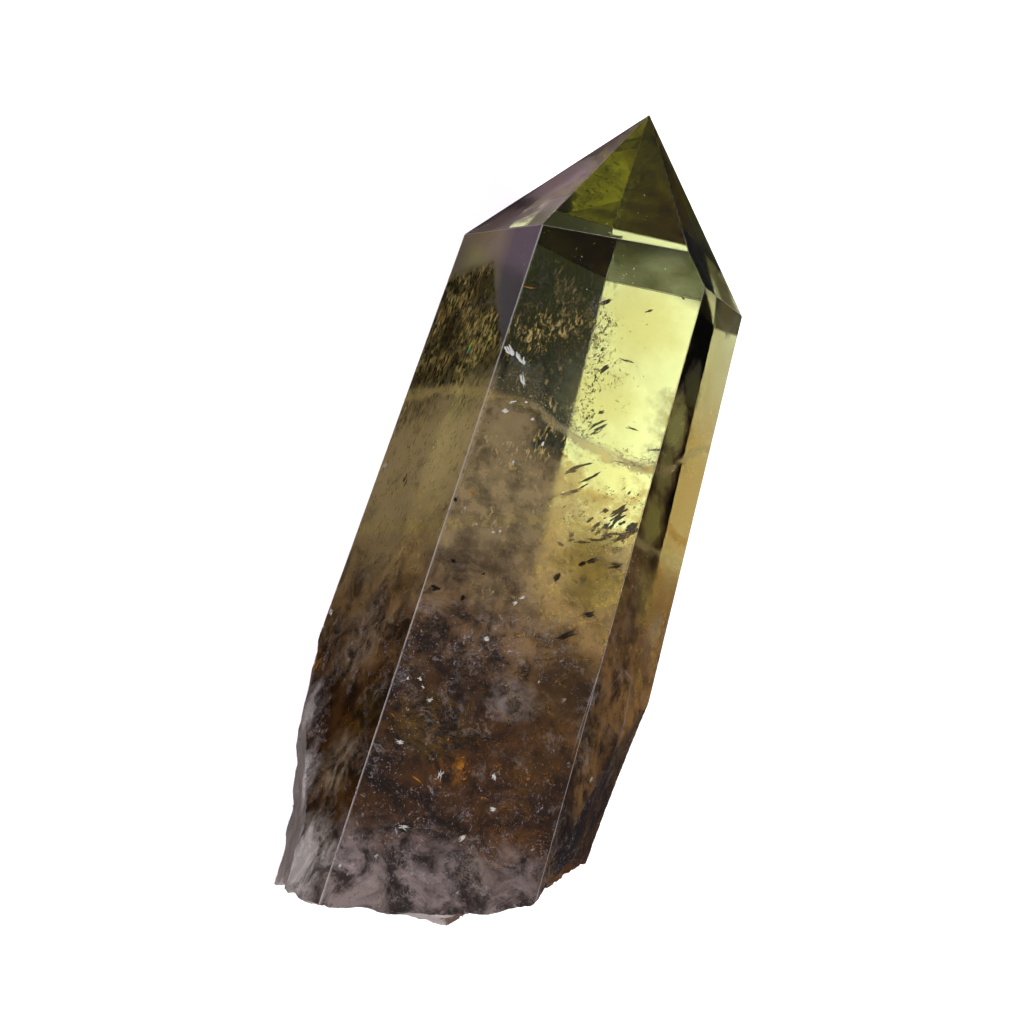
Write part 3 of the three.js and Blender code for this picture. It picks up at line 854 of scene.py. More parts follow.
def fracture_film(name, colour, roughness):
    """A gas or liquid film in a healed crack. It mirrors light like foil, in its own colour."""
    material, node = new_material(name)
    place = node("TexCoord").outputs["Object"]
    # Film thickness differs from place to place, in patches about 1.5 mm across.
    patches = node("TexNoise", {"Vector": place, "Scale": 1 / 0.0015, "Detail": 2.0})
    shade = node("Mix", {
        "Factor": patches, "A": [0.35 * c for c in colour], "B": colour}, data_type="RGBA")
    shader = node("BsdfPrincipled", {"Base Color": shade, "Metallic": 1.0, "Roughness": roughness})
    node("OutputMaterial", {"Surface": shader})
    return material


def crushed_quartz(name, colour, spread):
    """Crushed and healed quartz, full of tiny cracks that throw light back, so it looks white or
    stained. Its shade differs from place to place, in patches about 2 mm across."""
    material, node = new_material(name)
    place = node("TexCoord").outputs["Object"]
    patches = node("TexNoise", {"Vector": place, "Scale": 1 / 0.002, "Detail": 4.0, "Roughness": 0.6})
    bright = node("MapRange", {"Value": patches, "From Min": 0.4, "From Max": 0.65})
    shade = node("Mix", {
        "Factor": bright, "A": [spread * c for c in colour], "B": colour}, data_type="RGBA")
    shader = node("BsdfPrincipled", {"Base Color": shade, "Roughness": 0.3, "IOR": 1.544})
    node("OutputMaterial", {"Surface": shader})
    return material


def thin_film_colours(name, codes, band):
    """A crack so thin that light waves interfere in it. Its colours follow its thickness, and so run
    along it in bands, in the order of the codes."""
    material, node = new_material(name)
    place = node("TexCoord").outputs["Object"]
    along = node("SeparateXYZ", {"Vector": place}).outputs["Y"]
    turns = node("Math", {0: along, 1: 1 / band}, operation="MULTIPLY")
    order = node("Math", {0: turns}, operation="FRACT")
    shade = node("ValToRGB", {"Fac": order})
    stops = shade.color_ramp.elements
    stops.remove(stops[1])
    stops[0].position, stops[0].color = 0.0, (*linear(codes[0]), 1)
    for k, code in enumerate(codes[1:], 1):
        stops.new(k / (len(codes) - 1)).color = (*linear(code), 1)
    shader = node("BsdfPrincipled", {"Base Color": shade, "Roughness": 0.25})
    node("OutputMaterial", {"Surface": shader})
    return material


def matte_board(name, colour, glare, sheen_colour, dim):
    """Painted board: even and matt, with a faint tooth about 2 mm across. What the crystal shows of
    it is painted shade, darker by the dim share, outside a patch right of the crystal. Mirror
    reflections see it painted nearly dark, with a painted sheen beyond the tip."""
    material, node = new_material(name)
    place = node("TexCoord").outputs["Object"]
    tooth = node("TexNoise", {"Vector": place, "Scale": 1 / 0.002, "Detail": 2.0})
    relief = node("Bump", {"Height": tooth, "Strength": 0.1, "Distance": 0.0001})
    split = node("SeparateXYZ", {"Vector": place})
    # Painted reflection: a lilac sheen beyond the tip, fuller past a slanted line, shows in mirror
    # reflections.
    beyond_tip = node("MapRange", {"Value": split.outputs["Y"], "From Min": 0.0295, "From Max": 0.0315})
    to_left = node("MapRange", {"Value": split.outputs["X"], "From Min": 0.018, "From Max": 0.008})
    sheen_there = node("Math", {0: beyond_tip, 1: to_left}, operation="MULTIPLY")
    aslant = node("Math", {
        0: split.outputs["Y"], 1: -0.538, 2: split.outputs["X"]}, operation="MULTIPLY_ADD")
    fuller = node("MapRange", {
        "Value": aslant, "From Min": -0.0307, "From Max": -0.0320, "To Min": 0.4})
    sheen = node("Math", {0: sheen_there, 1: fuller}, operation="MULTIPLY")
    mirror_shade = node("Mix", {
        "Factor": sheen, "A": [glare * c for c in colour], "B": sheen_colour}, data_type="RGBA")
    # Painted shade: outside this patch right of the crystal, what the crystal shows of the board is dimmed.
    near = node("MapRange", {"Value": split.outputs["X"], "From Min": 0.034, "From Max": 0.026})
    level = node("MapRange", {"Value": split.outputs["Y"], "From Min": 0.0355, "From Max": 0.033})
    lit = node("Math", {0: near, 1: level}, operation="MULTIPLY")
    through_shade = node("Mix", {
        "Factor": lit, "A": [dim * c for c in colour], "B": colour}, data_type="RGBA")
    path = node("LightPath").outputs
    unseen = node("Mix", {
        "Factor": path["Is Reflection Ray"], "A": through_shade, "B": mirror_shade}, data_type="RGBA")
    shade = node("Mix", {"Factor": path["Is Camera Ray"], "A": unseen, "B": colour}, data_type="RGBA")
    shader = node("BsdfPrincipled", {
        "Base Color": shade, "Roughness": 0.9, "Specular IOR Level": 0.2, "Normal": relief})
    node("OutputMaterial", {"Surface": shader})
    return material


# ------------------------------------------------------------------ settings


def colour_setting(name, description, code):
    """A colour that the user can change, from its sRGB hex code."""
    return FloatVectorProperty(
        name=name, description=description, subtype="COLOR", default=linear(code), min=0.0, max=1.0)


def share_setting(name, description, default):
    """A share of light, or a roughness, from 0 to 1."""
    return FloatProperty(
        name=name, description=description, default=default, min=0.0, max=1.0, subtype="FACTOR")


def power_setting(name, description, default):
    """A lamp's power, in watts."""
    return FloatProperty(name=name, description=description, default=default, min=0.0, unit="POWER")


class CrystalSettings(PropertyGroup):
    """The crystal's own sizes and colours."""
    step: FloatProperty(
        name="Column step", description="Spacing of the mesh columns, in millimetres",
        default=0.55, min=0.2)
    hackle: FloatProperty(
        name="Hackle", description="Share of sharp creases in a broken surface", default=0.35, min=0.0)
    chamfer: FloatProperty(
        name="Worn depth", description="How deep an edge is worn off, in millimetres",
        default=0.05, min=0.0)
    ior: FloatProperty(name="IOR", description="Index of refraction of quartz", default=1.544, min=1.0)
    haze_top: FloatProperty(
        name="Haze top", description="Height where the left side turns hazy", default=0.009, unit="LENGTH")
    window_edge: FloatProperty(
        name="Window edge", description="How far across the clear window reaches",
        default=0.009, unit="LENGTH")
    window_foot: FloatProperty(
        name="Window foot", description="Height where the clear window ends", default=0.0, unit="LENGTH")
    smoke_top: FloatProperty(
        name="Smoke top", description="Height where the smoky part begins", default=-0.012, unit="LENGTH")
    haze: share_setting("Haze", "Share of light that the upper haze scatters", 0.58)
    turbid: share_setting("Turbidity", "Share of light that the smoky part scatters", 0.72)
    streaks: share_setting("Streaks", "Share of light that the left face's streaks scatter", 0.8)
    blur: share_setting("Blur", "Roughness of what is seen through turbid quartz", 0.45)
    frost: share_setting("Frosting", "Share of light that a broken surface scatters", 0.8)
    wear: share_setting("Wear", "Share of light that a worn edge scatters", 0.95)
    broken_roughness: share_setting("Broken roughness", "Roughness of a broken surface", 0.7)
    absorption_density: FloatProperty(
        name="Absorption density", description="Per metre", default=60.0, min=0.0)
    absorption_colour: colour_setting(
        "Absorption colour", "What clear lemon quartz lets through", "#E8E8A4")
    lemon_colour: colour_setting("Lemon", "Tint of the tip", "#F2FFEC")
    haze_colour: colour_setting("Haze", "Colour of the upper haze", "#C8AC7A")
    olive_colour: colour_setting("Olive", "Colour of the left face's streaks", "#2E2812")
    gold_colour: colour_setting("Gold streaks", "Colour of the left face's brighter streaks", "#DCC078")
    stain_colour: colour_setting("Top stain", "Tint of the top face", "#946C3E")
    # The next three settings paint a reflection on the left face's smooth top: a painted sheen.
    painted_sheen_colour: colour_setting("Film", "Colour of the film on the left face's smooth top", "#8C7E68")
    painted_sheen_edge_colour: colour_setting(
        "Film at the edge", "Colour of the film along the left face's upper edge", "#5A5460")
    film: share_setting("Film cover", "Share of light that the film scatters", 0.7)
    veil_colour: colour_setting("Veil", "Colour of the healed veils", "#CCB070")
    # Painted shade on the lower right termination face, darkening what shows through it.
    cap_shade_colour: colour_setting("Etched face", "Tint of the stained termination face", "#17180A")
    smoke_colour: colour_setting("Smoke", "Colour of the upper smoke", "#94714C")
    deep_colour: colour_setting("Deep smoke", "Colour of the lower smoke", "#5C3A18")
    dark_colour: colour_setting("Dark smoke", "Colour of the darkest clouds", "#1E1006")
    milk_colour: colour_setting("Milk", "Colour of the milky base", "#A08A84")
    fleck_colour: colour_setting("Flecks", "Colour of wisps and flecks", "#AEA09A")
    frost_colour: colour_setting("Frost", "Colour of broken and worn quartz", "#F2E6E4")


class InclusionSettings(PropertyGroup):
    """What is shut inside the crystal, and the marks on its faces."""
    seed: IntProperty(name="Seed", description="Start of the scatter", default=7, min=0)
    silver_colour: colour_setting("Silver film", "Colour of gas films", "#F2EEF6")
    gold_colour: colour_setting("Gold film", "Colour of iron-stained films", "#E6CF90")
    veil_colour: colour_setting("Veil", "Colour of fine veils", "#CDBE86")
    milk_colour: colour_setting("Milky flecks", "Colour of crushed quartz", "#B8AAAC")
    white_colour: colour_setting("White flecks", "Colour of fresh cracks", "#F4F2EC")
    line_width: FloatProperty(
        name="Line width", description="Width of a growth line, in millimetres", default=0.12, min=0.0)
    rust_colour: colour_setting("Rusty flecks", "Colour of iron-stained crushed quartz", "#C8842E")
    void_colour: colour_setting("Voids", "Colour of dark voids", "#241808")


class StageSettings(PropertyGroup):
    """Floor and lights."""
    floor_colour: colour_setting("Floor", "Colour of the floor", "#EEE8F0")
    # The floor's painted shade and painted sheen, as the crystal shows them by reflection and through
    # itself.
    glare: share_setting("Glare", "Share of the floor's light that mirror reflections keep", 0.006)
    sheen_colour: colour_setting(
        "Sheen", "What mirror reflections show of the floor beyond the tip", "#745E6C")
    dim: share_setting(
        "Dim", "Share of the floor's light that the crystal shows outside the lit patch", 0.08)
    sky: FloatProperty(
        name="Sky", description="Strength of the even light all round", default=0.12, min=0.0)
    far_key: power_setting("Far key", "Power of the low light behind the crystal", 100.0)
    near_key: power_setting("Near key", "Power of the high light beside the camera", 6.0)
    left_key: power_setting("Left key", "Power of the low light on the left face", 25.0)
    right_key: power_setting("Right key", "Power of the light on the top face", 17.0)
    left_fill: power_setting("Left fill", "Power of the light that lifts the floor's shadow", 140.0)
    soft_box: power_setting("Soft box", "Power of the soft box behind the base", 1.5)


# ------------------------------------------------------------------ operators


class QUARTZ_OT_crystal(Operator):
    """Make the crystal itself"""
    bl_idname = "quartz.crystal"
    bl_label = "Crystal"

    def execute(self, context):
        s = context.scene.quartz_crystal
        points, faces, broken, worn = crystal_surface(s.step, s.hackle, s.chamfer)
        piece = add_piece("grown_crystal", points, faces, grown_quartz(s))
        for name, values in (("broken", broken), ("worn", worn)):
            layer = piece.data.attributes.new(name, "FLOAT", "POINT")
            layer.data.foreach_set("value", values.astype(np.float32))
        piece.data.shade_smooth()
        piece.data.set_sharp_from_angle(angle=np.radians(14))
        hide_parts("quartz_crystal")
        return {"FINISHED"}


# Clouds of grains: the broken line that each follows in the picture, how far it spreads, its depth
# in millimetres, how many grains, how many clumps and their size, a grain's half width in
# millimetres, how much longer it is, its lean in the picture with the scatter of that, and what it
# lies flat to. Lines, spreads and clump sizes are in picture pixels.
VEILS = (
    (((390, 397), (440, 393), (490, 395), (540, 410), (590, 440), (650, 468), (700, 475)),
     2.5, (0, 0.02), 1600, 260, 3.0, 0.026, 3.0, (-10, 24), "face"),
    (((385, 527), (460, 522), (540, 521), (640, 540)),
     3.0, (0, 0.02), 800, 200, 3.0, 0.026, 3.0, (0, 25), "face"),
    (((600, 545), (640, 560), (600, 590)), 8.0, (0, 0.02), 900, 130, 4.0, 0.028, 4.0, (15, 30), "face"),
    (((500, 380), (540, 400), (580, 425)), 9.0, (0, 0.02), 900, 140, 4.0, 0.026, 3.0, (-30, 25), "face"),
    (((640, 470), (680, 440), (700, 400)), 8.0, (0, 0.02), 900, 140, 4.0, 0.03, 3.0, (40, 30), "face"),
)
SILVER = (
    (((520, 300), (560, 340), (590, 390)), 24.0, (1, 9), 1800, 300, 5.0, 0.045, 1.6, (60, 40), "mirror"),
    (((560, 290), (600, 340), (620, 400)), 12.0, (1, 9), 700, 120, 5.0, 0.04, 2.5, (70, 30), "any"),
)
# Marks: place, half length, half width and lean in the picture, depth in millimetres, and grains.
FLASHES = (
    (507, 350, 8, 1.5, -56, 0, 1), (510, 351, 9, 1.6, -61, 0, 1), (513, 353, 10, 1.7, -66, 0, 1),
    (517, 355, 11, 1.7, -70, 0, 1), (520, 358, 11, 1.5, -74, 0, 1), (524, 362, 9, 1.2, -77, 0, 1),
    (523, 382, 8, 2.4, -78, 0, 5),
    (505, 411, 3, 2.4, 30, 0, 7), (512, 402, 4, 1.2, 10, 0, 3), (533, 419, 2, 1.4, 0, 0, 4),
    (526, 402, 2, 1, 0, 0, 2), (572, 414, 1.4, 1, 0, 0, 2), (543, 444, 3, 1.2, 60, 0, 3),
)
GLINTS = (
    (562, 455, 3, 2, 60, 0.3, 4), (543, 469, 5, 3.5, 50, 0.3, 10), (554, 472, 2.5, 1.5, 60, 0.3, 3),
    (586, 503, 5, 3, 60, 0.4, 16), (594, 500, 4, 2.5, 50, 0.4, 12), (527, 306, 12, 6, 82, 2.0, 160),
    (560, 296, 17, 6, -82, 2.0, 240), (567, 306, 12, 8, 80, 2.0, 240), (543, 322, 12, 9, 70, 2.0, 220),
    (575, 330, 22, 10, 60, 2.0, 260), (535, 345, 22, 12, 60, 2.0, 260),
)
VOIDS = (
    (604, 303, 7.9, 2.2, 30, 0.4, 3), (649, 311, 5.9, 1, 20, 0.4, 1), (683, 298, 2.6, 1, -45, 0.4, 1),
    (628, 361, 7.9, 1.1, -20, 0.4, 2), (604, 369, 5.9, 2.4, 30, 0.4, 3), (595, 378, 6.6, 0.5, 75, 0.4, 1),
    (602, 412, 4.6, 1.6, 25, 0.4, 2), (597, 424, 10.6, 1.6, 30, 0.4, 3), (598, 429, 9.3, 1.4, 28, 0.4, 2),
    (594, 433, 7.9, 1.1, 28, 0.4, 2), (634, 429, 6.6, 1.1, -10, 0.4, 2), (579, 467, 17.2, 1.5, 31, 0.4, 1),
    (571, 472, 7.9, 1.1, 32, 0.4, 1), (589, 478, 11.9, 1, 32, 0.4, 1), (596, 475, 6.6, 1, 30, 0.4, 1),
    (584, 486, 6.6, 0.8, 32, 0.4, 1), (570, 493, 11.9, 1.9, 25, 0.4, 4), (546, 499, 11.9, 2.2, 25, 0.4, 4),
    (536, 508, 10.6, 1.6, 20, 0.4, 3), (619, 511, 9.3, 3.3, 30, 0.4, 4), (605, 511, 4, 2.2, 35, 0.4, 2),
    (616, 520, 11.9, 3.5, 40, 0.4, 4), (605, 527, 6.6, 2.2, 50, 0.4, 2), (612, 534, 6.6, 1.6, 20, 0.4, 2),
    (606, 534, 5.3, 1.6, 70, 0.4, 2), (596, 526, 7.9, 2.2, 45, 0.4, 2), (590, 520, 5.3, 1.2, 45, 0.4, 1),
    (598, 532, 5.3, 1.4, 40, 0.4, 1), (630, 530, 9.3, 4.9, 25, 0.4, 5), (624, 535, 11.9, 3.3, 22, 0.4, 4),
    (633, 526, 5.3, 3.4, 30, 0.4, 3), (622, 523, 6.6, 1.5, 30, 0.4, 1), (560, 544, 5.3, 2.2, 0, 0.4, 2),
    (571, 540, 5.3, 1.5, 10, 0.4, 1), (582, 542, 9.3, 1.4, 5, 0.4, 2), (594, 540, 10.6, 1.4, 4, 0.4, 2),
    (606, 538, 7.9, 1.2, 8, 0.4, 1), (571, 535, 4, 2.2, 60, 0.4, 1), (656, 450, 10.6, 1, 5, 0.4, 1),
    (690, 451, 4, 0.7, 5, 0.4, 1), (641, 467, 14.5, 0.8, -25, 0.4, 2), (620, 462, 10.6, 0.8, -12, 0.4, 2),
)
DARK_MARKS = (
    (582, 564, 4.6, 1.92, 20, 0, 2), (594, 560, 8.05, 2.4, 20, 0, 3), (616, 566, 8.05, 2.4, 15, 0, 3),
    (557, 577, 5.75, 2.88, 50, 0, 3), (483, 574, 3.45, 0.96, 20, 0, 1), (453, 561, 3.45, 1.6, -40, 0, 1),
    (436, 588, 4.6, 3.2, 0, 0, 3), (463, 598, 3.45, 2.4, 60, 0, 2), (566, 636, 10.35, 2.88, 30, 0, 4),
    (588, 615, 8.05, 2.88, 20, 0, 3), (455, 500, 3.45, 1.6, 60, 0, 1), (405, 480, 5.75, 2.4, 80, 0, 3),
)
DARK_CLOUDS = (
    (((612, 306), (603, 345), (594, 390), (584, 440)),
     3.5, (0.2, 0.5), 420, 90, 2.4, 0.035, 3.2, (60, 25), "face"),
    (((600, 488), (650, 502)), 6.0, (0.2, 0.8), 90, 40, 3.0, 0.035, 3.0, (32, 12), "face"),
    (((570, 510), (630, 548)), 7.0, (0.2, 0.8), 160, 60, 3.0, 0.04, 3.0, (35, 15), "face"),
    (((600, 455), (650, 470)), 3.0, (0.2, 0.8), 140, 50, 2.5, 0.03, 3.5, (-5, 25), "face"),
    (((620, 300), (640, 420)), 22.0, (0.2, 0.8), 60, 50, 3.0, 0.025, 3.0, (30, 25), "face"),
)
MILKY = (
    (((600, 300), (592, 345), (582, 395), (572, 450)),
     4.0, (0, 0.02), 420, 90, 2.4, 0.032, 3.2, (58, 25), "face"),
    (((330, 650), (400, 655), (470, 645), (560, 660)),
     18.0, (0, 0.02), 5200, 420, 4.5, 0.03, 3.5, (40, 40), "face"),
    (((310, 850), (380, 870), (470, 870), (560, 860)),
     24.0, (0, 0.02), 5200, 420, 5.5, 0.03, 3.5, (40, 40), "face"),
    (((345, 790), (420, 800), (500, 810), (560, 790)),
     20.0, (0, 0.02), 2600, 240, 5.0, 0.03, 3.5, (60, 40), "face"),
    (((395, 690), (420, 720), (380, 760)), 14.0, (0, 0.02), 700, 110, 3.5, 0.03, 3.5, (50, 40), "face"),
    (((390, 420), (430, 560), (520, 560)), 30.0, (0, 0.02), 500, 220, 2.0, 0.028, 3.0, (50, 50), "face"),
    (((328, 640), (322, 700), (308, 770), (292, 840)),
     4.0, (0, 0.02), 1500, 200, 4.0, 0.05, 2.0, (75, 25), "face"),
    (((455, 318), (470, 308), (495, 300)), 1.5, (0, 0.02), 260, 60, 2.0, 0.035, 3.0, (20, 15), "face"),
    (((610, 700), (590, 780), (570, 860)), 12.0, (0, 0.02), 300, 90, 2.0, 0.03, 2.0, (70, 30), "face"),
)
# How many grains lie on the faces that the camera doesn't see, between which heights, their
# depth, their half width and how much longer they are.
HIDDEN_MILK = (6000, -48, -8, (-0.02, 0.02), 0.05, 1.8)
WHITE_MARKS = (
    (331, 612, 3.2, 2.2, 60, 0, 14), (323, 627, 2.6, 1.3, 70, 0, 8), (385, 465, 3.2, 1.8, 70, 0, 12),
    (408, 678, 2, 1.3, 30, 0, 4), (420, 679, 2, 2.2, 30, 0, 8), (423, 687, 2, 1.3, 0, 0, 4),
    (440, 775, 5.2, 1.6, 65, 0, 12), (376, 856, 2.6, 1.3, 80, 0, 8), (340, 866, 2.6, 1.4, 70, 0, 8),
    (591, 780, 3.2, 1.1, 75, 0, 8), (631, 648, 1.3, 0.9, 0, 0, 2), (493, 809, 3.2, 2.2, 10, 0, 12),
    (522, 598, 3.2, 1.3, 40, 0, 8), (515, 603, 2.6, 1.8, 50, 0, 8), (539, 682, 1, 1.1, 0, 0, 2),
    (486, 639, 3.2, 2.6, 20, 0, 14), (493, 532, 2, 1.1, 0, 0, 4), (500, 531, 1.3, 1.3, 0, 0, 4),
    (476, 524, 1, 0.9, 0, 0, 2), (465, 508, 1.6, 0.7, 70, 0, 2), (513, 462, 2, 1.1, 60, 0, 4),
    (462, 838, 3.9, 2.2, 40, 0, 14), (404, 827, 4.5, 2.2, -10, 0, 14), (494, 777, 3.2, 2.2, 80, 0, 12),
    (312, 660, 5.2, 0.9, 70, 0, 8), (430, 700, 3.2, 1.8, 20, 0, 8), (400, 742, 4.5, 2.2, -5, 0, 14),
)
RUSTY = (
    (((395, 700), (430, 715), (470, 730)), 12.0, (0, 0.02), 500, 90, 4.0, 0.04, 2.5, (60, 40), "face"),
    (((440, 760), (500, 770), (560, 780)), 12.0, (0, 0.02), 500, 90, 4.0, 0.04, 2.5, (60, 40), "face"),
    (((450, 290), (430, 340), (410, 400)), 14.0, (0, 0.02), 900, 140, 5.0, 0.04, 3.0, (75, 15), "face"),
)
RUSTY_MARKS = (
    (318, 660, 13, 3.0, 72, 0, 26), (393, 715, 4, 1, -40, 0, 3), (417, 779, 5, 0.8, -55, 0, 2),
    (460, 766, 6, 5, 60, 0, 14), (468, 420, 3, 2, 60, 0, 3), (471, 492, 6, 2, -40, 0, 5),
    (531, 288, 8, 0.6, 5, 0, 2),
)
IRIS = ((470, 347, 11, 1.8, 86, 0, 1), (491, 338, 5, 1.2, 80, 0, 1))
IRIS_CODES = ("#5070FF", "#40E0D0", "#A0FF50", "#FFFF60", "#FFA050", "#FF60E0")
IRIS_BAND = 0.0024  # the colours run through once over this length, in metres
GROWTH_LINES = (
    ((608, 644), (581, 726), (571, 760)), ((624, 670), (599, 700)), ((632, 679), (622, 734), (614, 751)),
    ((624, 670), (632, 679)),
)
DUST = (
    (((520, 235), (560, 265), (600, 290), (660, 300)),
     22.0, (0, 0.02), 90, 90, 3.0, 0.04, 1.3, (0, 90), "face"),
    (((560, 180), (650, 230)), 16.0, (0, 0.02), 24, 24, 3.0, 0.035, 1.3, (0, 90), "face"),
    (((690, 400), (660, 560), (640, 640)), 8.0, (0, 0.02), 60, 60, 3.0, 0.035, 1.3, (0, 90), "face"),
)


def make_flecks(context, name, shift, material, **what):
    """One piece of grains. The shift keeps its scatter apart from the other pieces'."""
    seed, ior = context.scene.quartz_inclusions.seed, context.scene.quartz_crystal.ior
    points, faces = fleck_mesh(seed + shift, ior, **what)
    return add_piece(name, points, faces, material)


class QUARTZ_OT_veils(Operator):
    """Make the fine veils"""
    bl_idname = "quartz.veils"
    bl_label = "Veils"

    def execute(self, context):
        s = context.scene.quartz_inclusions
        make_flecks(context, "veils", 0, crushed_quartz("healed veil", s.veil_colour, 0.5), clouds=VEILS)
        return {"FINISHED"}


class QUARTZ_OT_films(Operator):
    """Make the silver and gold films in the clear part"""
    bl_idname = "quartz.films"
    bl_label = "Silver and gold films"

    def execute(self, context):
        s = context.scene.quartz_inclusions
        make_flecks(context, "silver_films", 1, fracture_film("silver gas film", s.silver_colour, 0.3),
                    clouds=SILVER)
        make_flecks(context, "gold_films", 2, fracture_film("gold iron film", s.gold_colour, 0.3),
                    marks=GLINTS, lie="mirror")
        return {"FINISHED"}


class QUARTZ_OT_voids(Operator):
    """Make the dark voids and slits"""
    bl_idname = "quartz.voids"
    bl_label = "Dark voids"

    def execute(self, context):
        s, ior = context.scene.quartz_inclusions, context.scene.quartz_crystal.ior
        points, faces = joined(slivers(np.random.default_rng(s.seed), VOIDS + DARK_MARKS, ior),
                               fleck_mesh(s.seed + 3, ior, DARK_CLOUDS))
        add_piece("dark_voids", points, faces, crushed_quartz("iron-stained void", s.void_colour, 0.3))
        return {"FINISHED"}


class QUARTZ_OT_flecks(Operator):
    """Make the milky, white and rusty flecks of the turbid part"""
    bl_idname = "quartz.flecks"
    bl_label = "Flecks"

    def execute(self, context):
        s, ior = context.scene.quartz_inclusions, context.scene.quartz_crystal.ior
        make_flecks(context, "milky_flecks", 4, crushed_quartz("crushed quartz", s.milk_colour, 0.35),
                    clouds=MILKY, hidden=HIDDEN_MILK)
        points, faces = joined(slivers(np.random.default_rng(s.seed), FLASHES, ior),
                               slivers(np.random.default_rng(s.seed), WHITE_MARKS, ior, 16),
                               fleck_mesh(s.seed + 5, ior, DUST))
        add_piece("white_flecks", points, faces, crushed_quartz("fresh crack", s.white_colour, 0.8))
        make_flecks(context, "rusty_flecks", 6, crushed_quartz("rusty crack", s.rust_colour, 0.3),
                    clouds=RUSTY, marks=RUSTY_MARKS)
        return {"FINISHED"}


class QUARTZ_OT_lines(Operator):
    """Make the growth lines and the iris crack"""
    bl_idname = "quartz.lines"
    bl_label = "Growth lines and iris crack"

    def execute(self, context):
        s, ior = context.scene.quartz_inclusions, context.scene.quartz_crystal.ior
        points, faces = ridges(GROWTH_LINES, s.line_width / 2, ior)
        add_piece("growth_lines", points, faces, crushed_quartz("growth line", s.milk_colour, 0.6))
        make_flecks(context, "iris_crack", 7,
                    thin_film_colours("iris crack", IRIS_CODES, IRIS_BAND), marks=IRIS)
        return {"FINISHED"}


FLOOR_HALF, FLOOR_GAP = 2.0, 0.00002  # in metres; the gap keeps the resting face clear of the floor
SKY_COLOUR = (0.93, 0.90, 1.0)
LAMP_DISTANCE = 0.6  # from the origin, in metres
# The lamps: each one's name, the way to it, its radius in metres, its cone in degrees, how narrow
# its pool of light is across the floor, and whether it lights the floor alone.
LAMPS = (
    ("far key", (1.5, 0.1, 1.0), 0.1, 24, 0.5, True),
    ("left fill", (-1.5, 0.1, 1.0), 0.25, 30, 1.0, True),
    ("near key", (-0.05, -0.8, 0.85), 0.15, 24, 1.0, False),
    ("left key", (-1.0, -0.5, 0.2), 0.15, 24, 1.0, False),
    ("right key", (1.5, -0.2, 1.0), 0.15, 24, 1.0, False),
)
SOFT_BOX_WAY, SOFT_BOX_DISTANCE, SOFT_BOX_SIZE = (0.3, -0.6, 0.75), 0.7, 0.4


def placed(right, up, back, where):
    """The matrix that puts an object somewhere with these axes."""
    return Matrix(np.vstack([np.column_stack([right, up, back, where]), (0, 0, 0, 1)]).tolist())


def add_light(scene, lamp, towards, distance, squeeze=1.0):
    """A light that looks at the origin from a distance, with its pool of light narrowed across the
    floor by the squeeze."""
    light = bpy.data.objects.new(lamp.name, lamp)
    scene.collection.objects.link(light)
    away = unit(np.array(towards))
    side = unit(np.cross((0, 0, 1), away))
    light.matrix_world = placed(side, np.cross(away, side) * squeeze, away, away * distance)
    return light


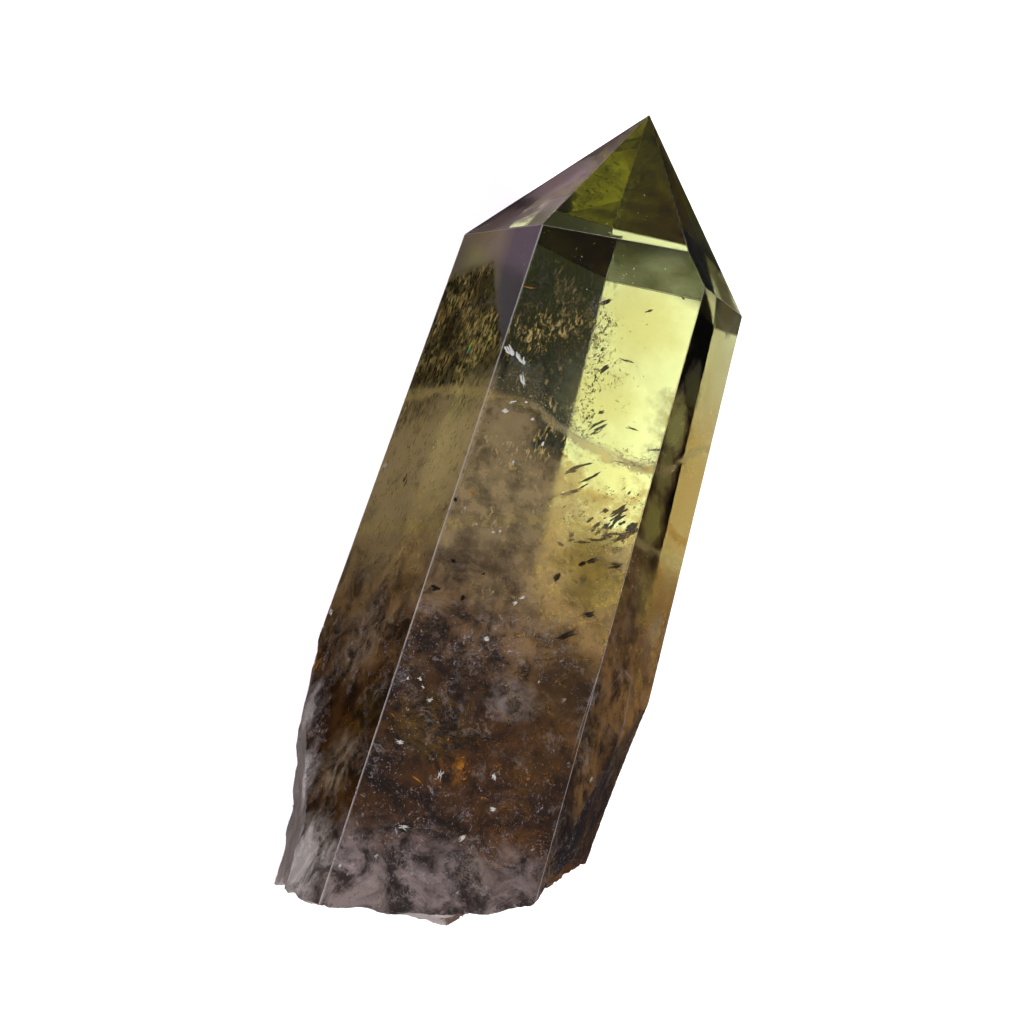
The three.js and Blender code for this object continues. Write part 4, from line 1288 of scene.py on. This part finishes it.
class QUARTZ_OT_stage(Operator):
    """Make the floor, the lights and the camera"""
    bl_idname = "quartz.stage"
    bl_label = "Stage"

    def execute(self, context):
        s, scene = context.scene.quartz_stage, context.scene
        mesh = bpy.data.meshes.new("floor")
        corners = [(x * FLOOR_HALF, y * FLOOR_HALF, 0) for x, y in ((-1, -1), (1, -1), (1, 1), (-1, 1))]
        mesh.from_pydata(corners, [], [(0, 1, 2, 3)])
        mesh.materials.append(matte_board("pale board", s.floor_colour, s.glare, s.sheen_colour, s.dim))
        floor = bpy.data.objects.new("floor", mesh)
        floor.location.z = -FLOOR_GAP
        scene.collection.objects.link(floor)

        world = bpy.data.worlds.new("soft room")
        world.use_nodes = True
        sky = world.node_tree.nodes["Background"]
        sky.inputs["Color"].default_value = (*SKY_COLOUR, 1)
        sky.inputs["Strength"].default_value = s.sky
        scene.world = world

        board = bpy.data.collections.new("lit by the floor's lamps")
        board.objects.link(floor)
        for name, towards, radius, cone, squeeze, lights_floor_only in LAMPS:
            lamp = bpy.data.lights.new(name, "SPOT")
            lamp.energy, lamp.shadow_soft_size = getattr(s, name.replace(" ", "_")), radius
            lamp.spot_size, lamp.spot_blend = np.radians(cone), 1.0
            light = add_light(scene, lamp, towards, LAMP_DISTANCE, squeeze)
            light.visible_glossy = light.visible_transmission = False
            if lights_floor_only:
                light.light_linking.receiver_collection = board
        soft = bpy.data.lights.new("soft box", "AREA")
        soft.shape, soft.size, soft.energy = "DISK", SOFT_BOX_SIZE, s.soft_box
        add_light(scene, soft, SOFT_BOX_WAY, SOFT_BOX_DISTANCE)

        lens = bpy.data.cameras.new("camera")
        lens.sensor_width = 36.0
        lens.lens = lens.sensor_width * FOCAL_PIXELS / PICTURE_SIZE
        lens.shift_x, lens.shift_y = (PICTURE_SIZE / 2 - PICTURE_CENTRE) * (1, -1) / PICTURE_SIZE
        lens.clip_start, lens.clip_end = 0.01, 10.0
        camera = bpy.data.objects.new("camera", lens)
        scene.collection.objects.link(camera)
        right, up, back = camera_axes()
        where = (CAMERA_TARGET + back * CAMERA_DISTANCE) * MM
        camera.matrix_world = placed(right, up, back, where)
        scene.camera = camera

        scene.view_settings.view_transform = "Standard"
        scene.cycles.max_bounces = scene.cycles.transmission_bounces = 24
        scene.cycles.glossy_bounces, scene.cycles.transparent_max_bounces = 16, 32
        scene.cycles.caustics_refractive = scene.cycles.caustics_reflective = False
        scene.cycles.use_denoising = True
        return {"FINISHED"}


class QUARTZ_PT_panel(Panel):
    """Lists the pieces"""
    bl_idname = "QUARTZ_PT_panel"
    bl_label = "Lemon Quartz"
    bl_space_type = "VIEW_3D"
    bl_region_type = "UI"
    bl_category = "Quartz"

    def draw(self, context):
        for maker in MAKERS:
            self.layout.operator(maker.bl_idname)
        for group_name in GROUPS:
            group, box = getattr(context.scene, group_name), self.layout.box()
            for name in group.bl_rna.properties.keys():
                if name not in ("rna_type", "name"):
                    box.prop(group, name)


GROUPS = {
    "quartz_crystal": CrystalSettings,
    "quartz_inclusions": InclusionSettings,
    "quartz_stage": StageSettings,
}
MAKERS = (QUARTZ_OT_stage, QUARTZ_OT_crystal, QUARTZ_OT_veils, QUARTZ_OT_films, QUARTZ_OT_voids,
          QUARTZ_OT_flecks, QUARTZ_OT_lines)


def register():
    for cls in (*GROUPS.values(), *MAKERS, QUARTZ_PT_panel):
        bpy.utils.register_class(cls)
    for name, group in GROUPS.items():
        setattr(bpy.types.Scene, name, PointerProperty(type=group))


def unregister():
    for name in GROUPS:
        delattr(bpy.types.Scene, name)
    for cls in reversed((*GROUPS.values(), *MAKERS, QUARTZ_PT_panel)):
        bpy.utils.unregister_class(cls)


def main():
    register()
    for maker in MAKERS:
        getattr(bpy.ops.quartz, maker.bl_idname.split(".")[1])()


if __name__ == "__main__":
    main()
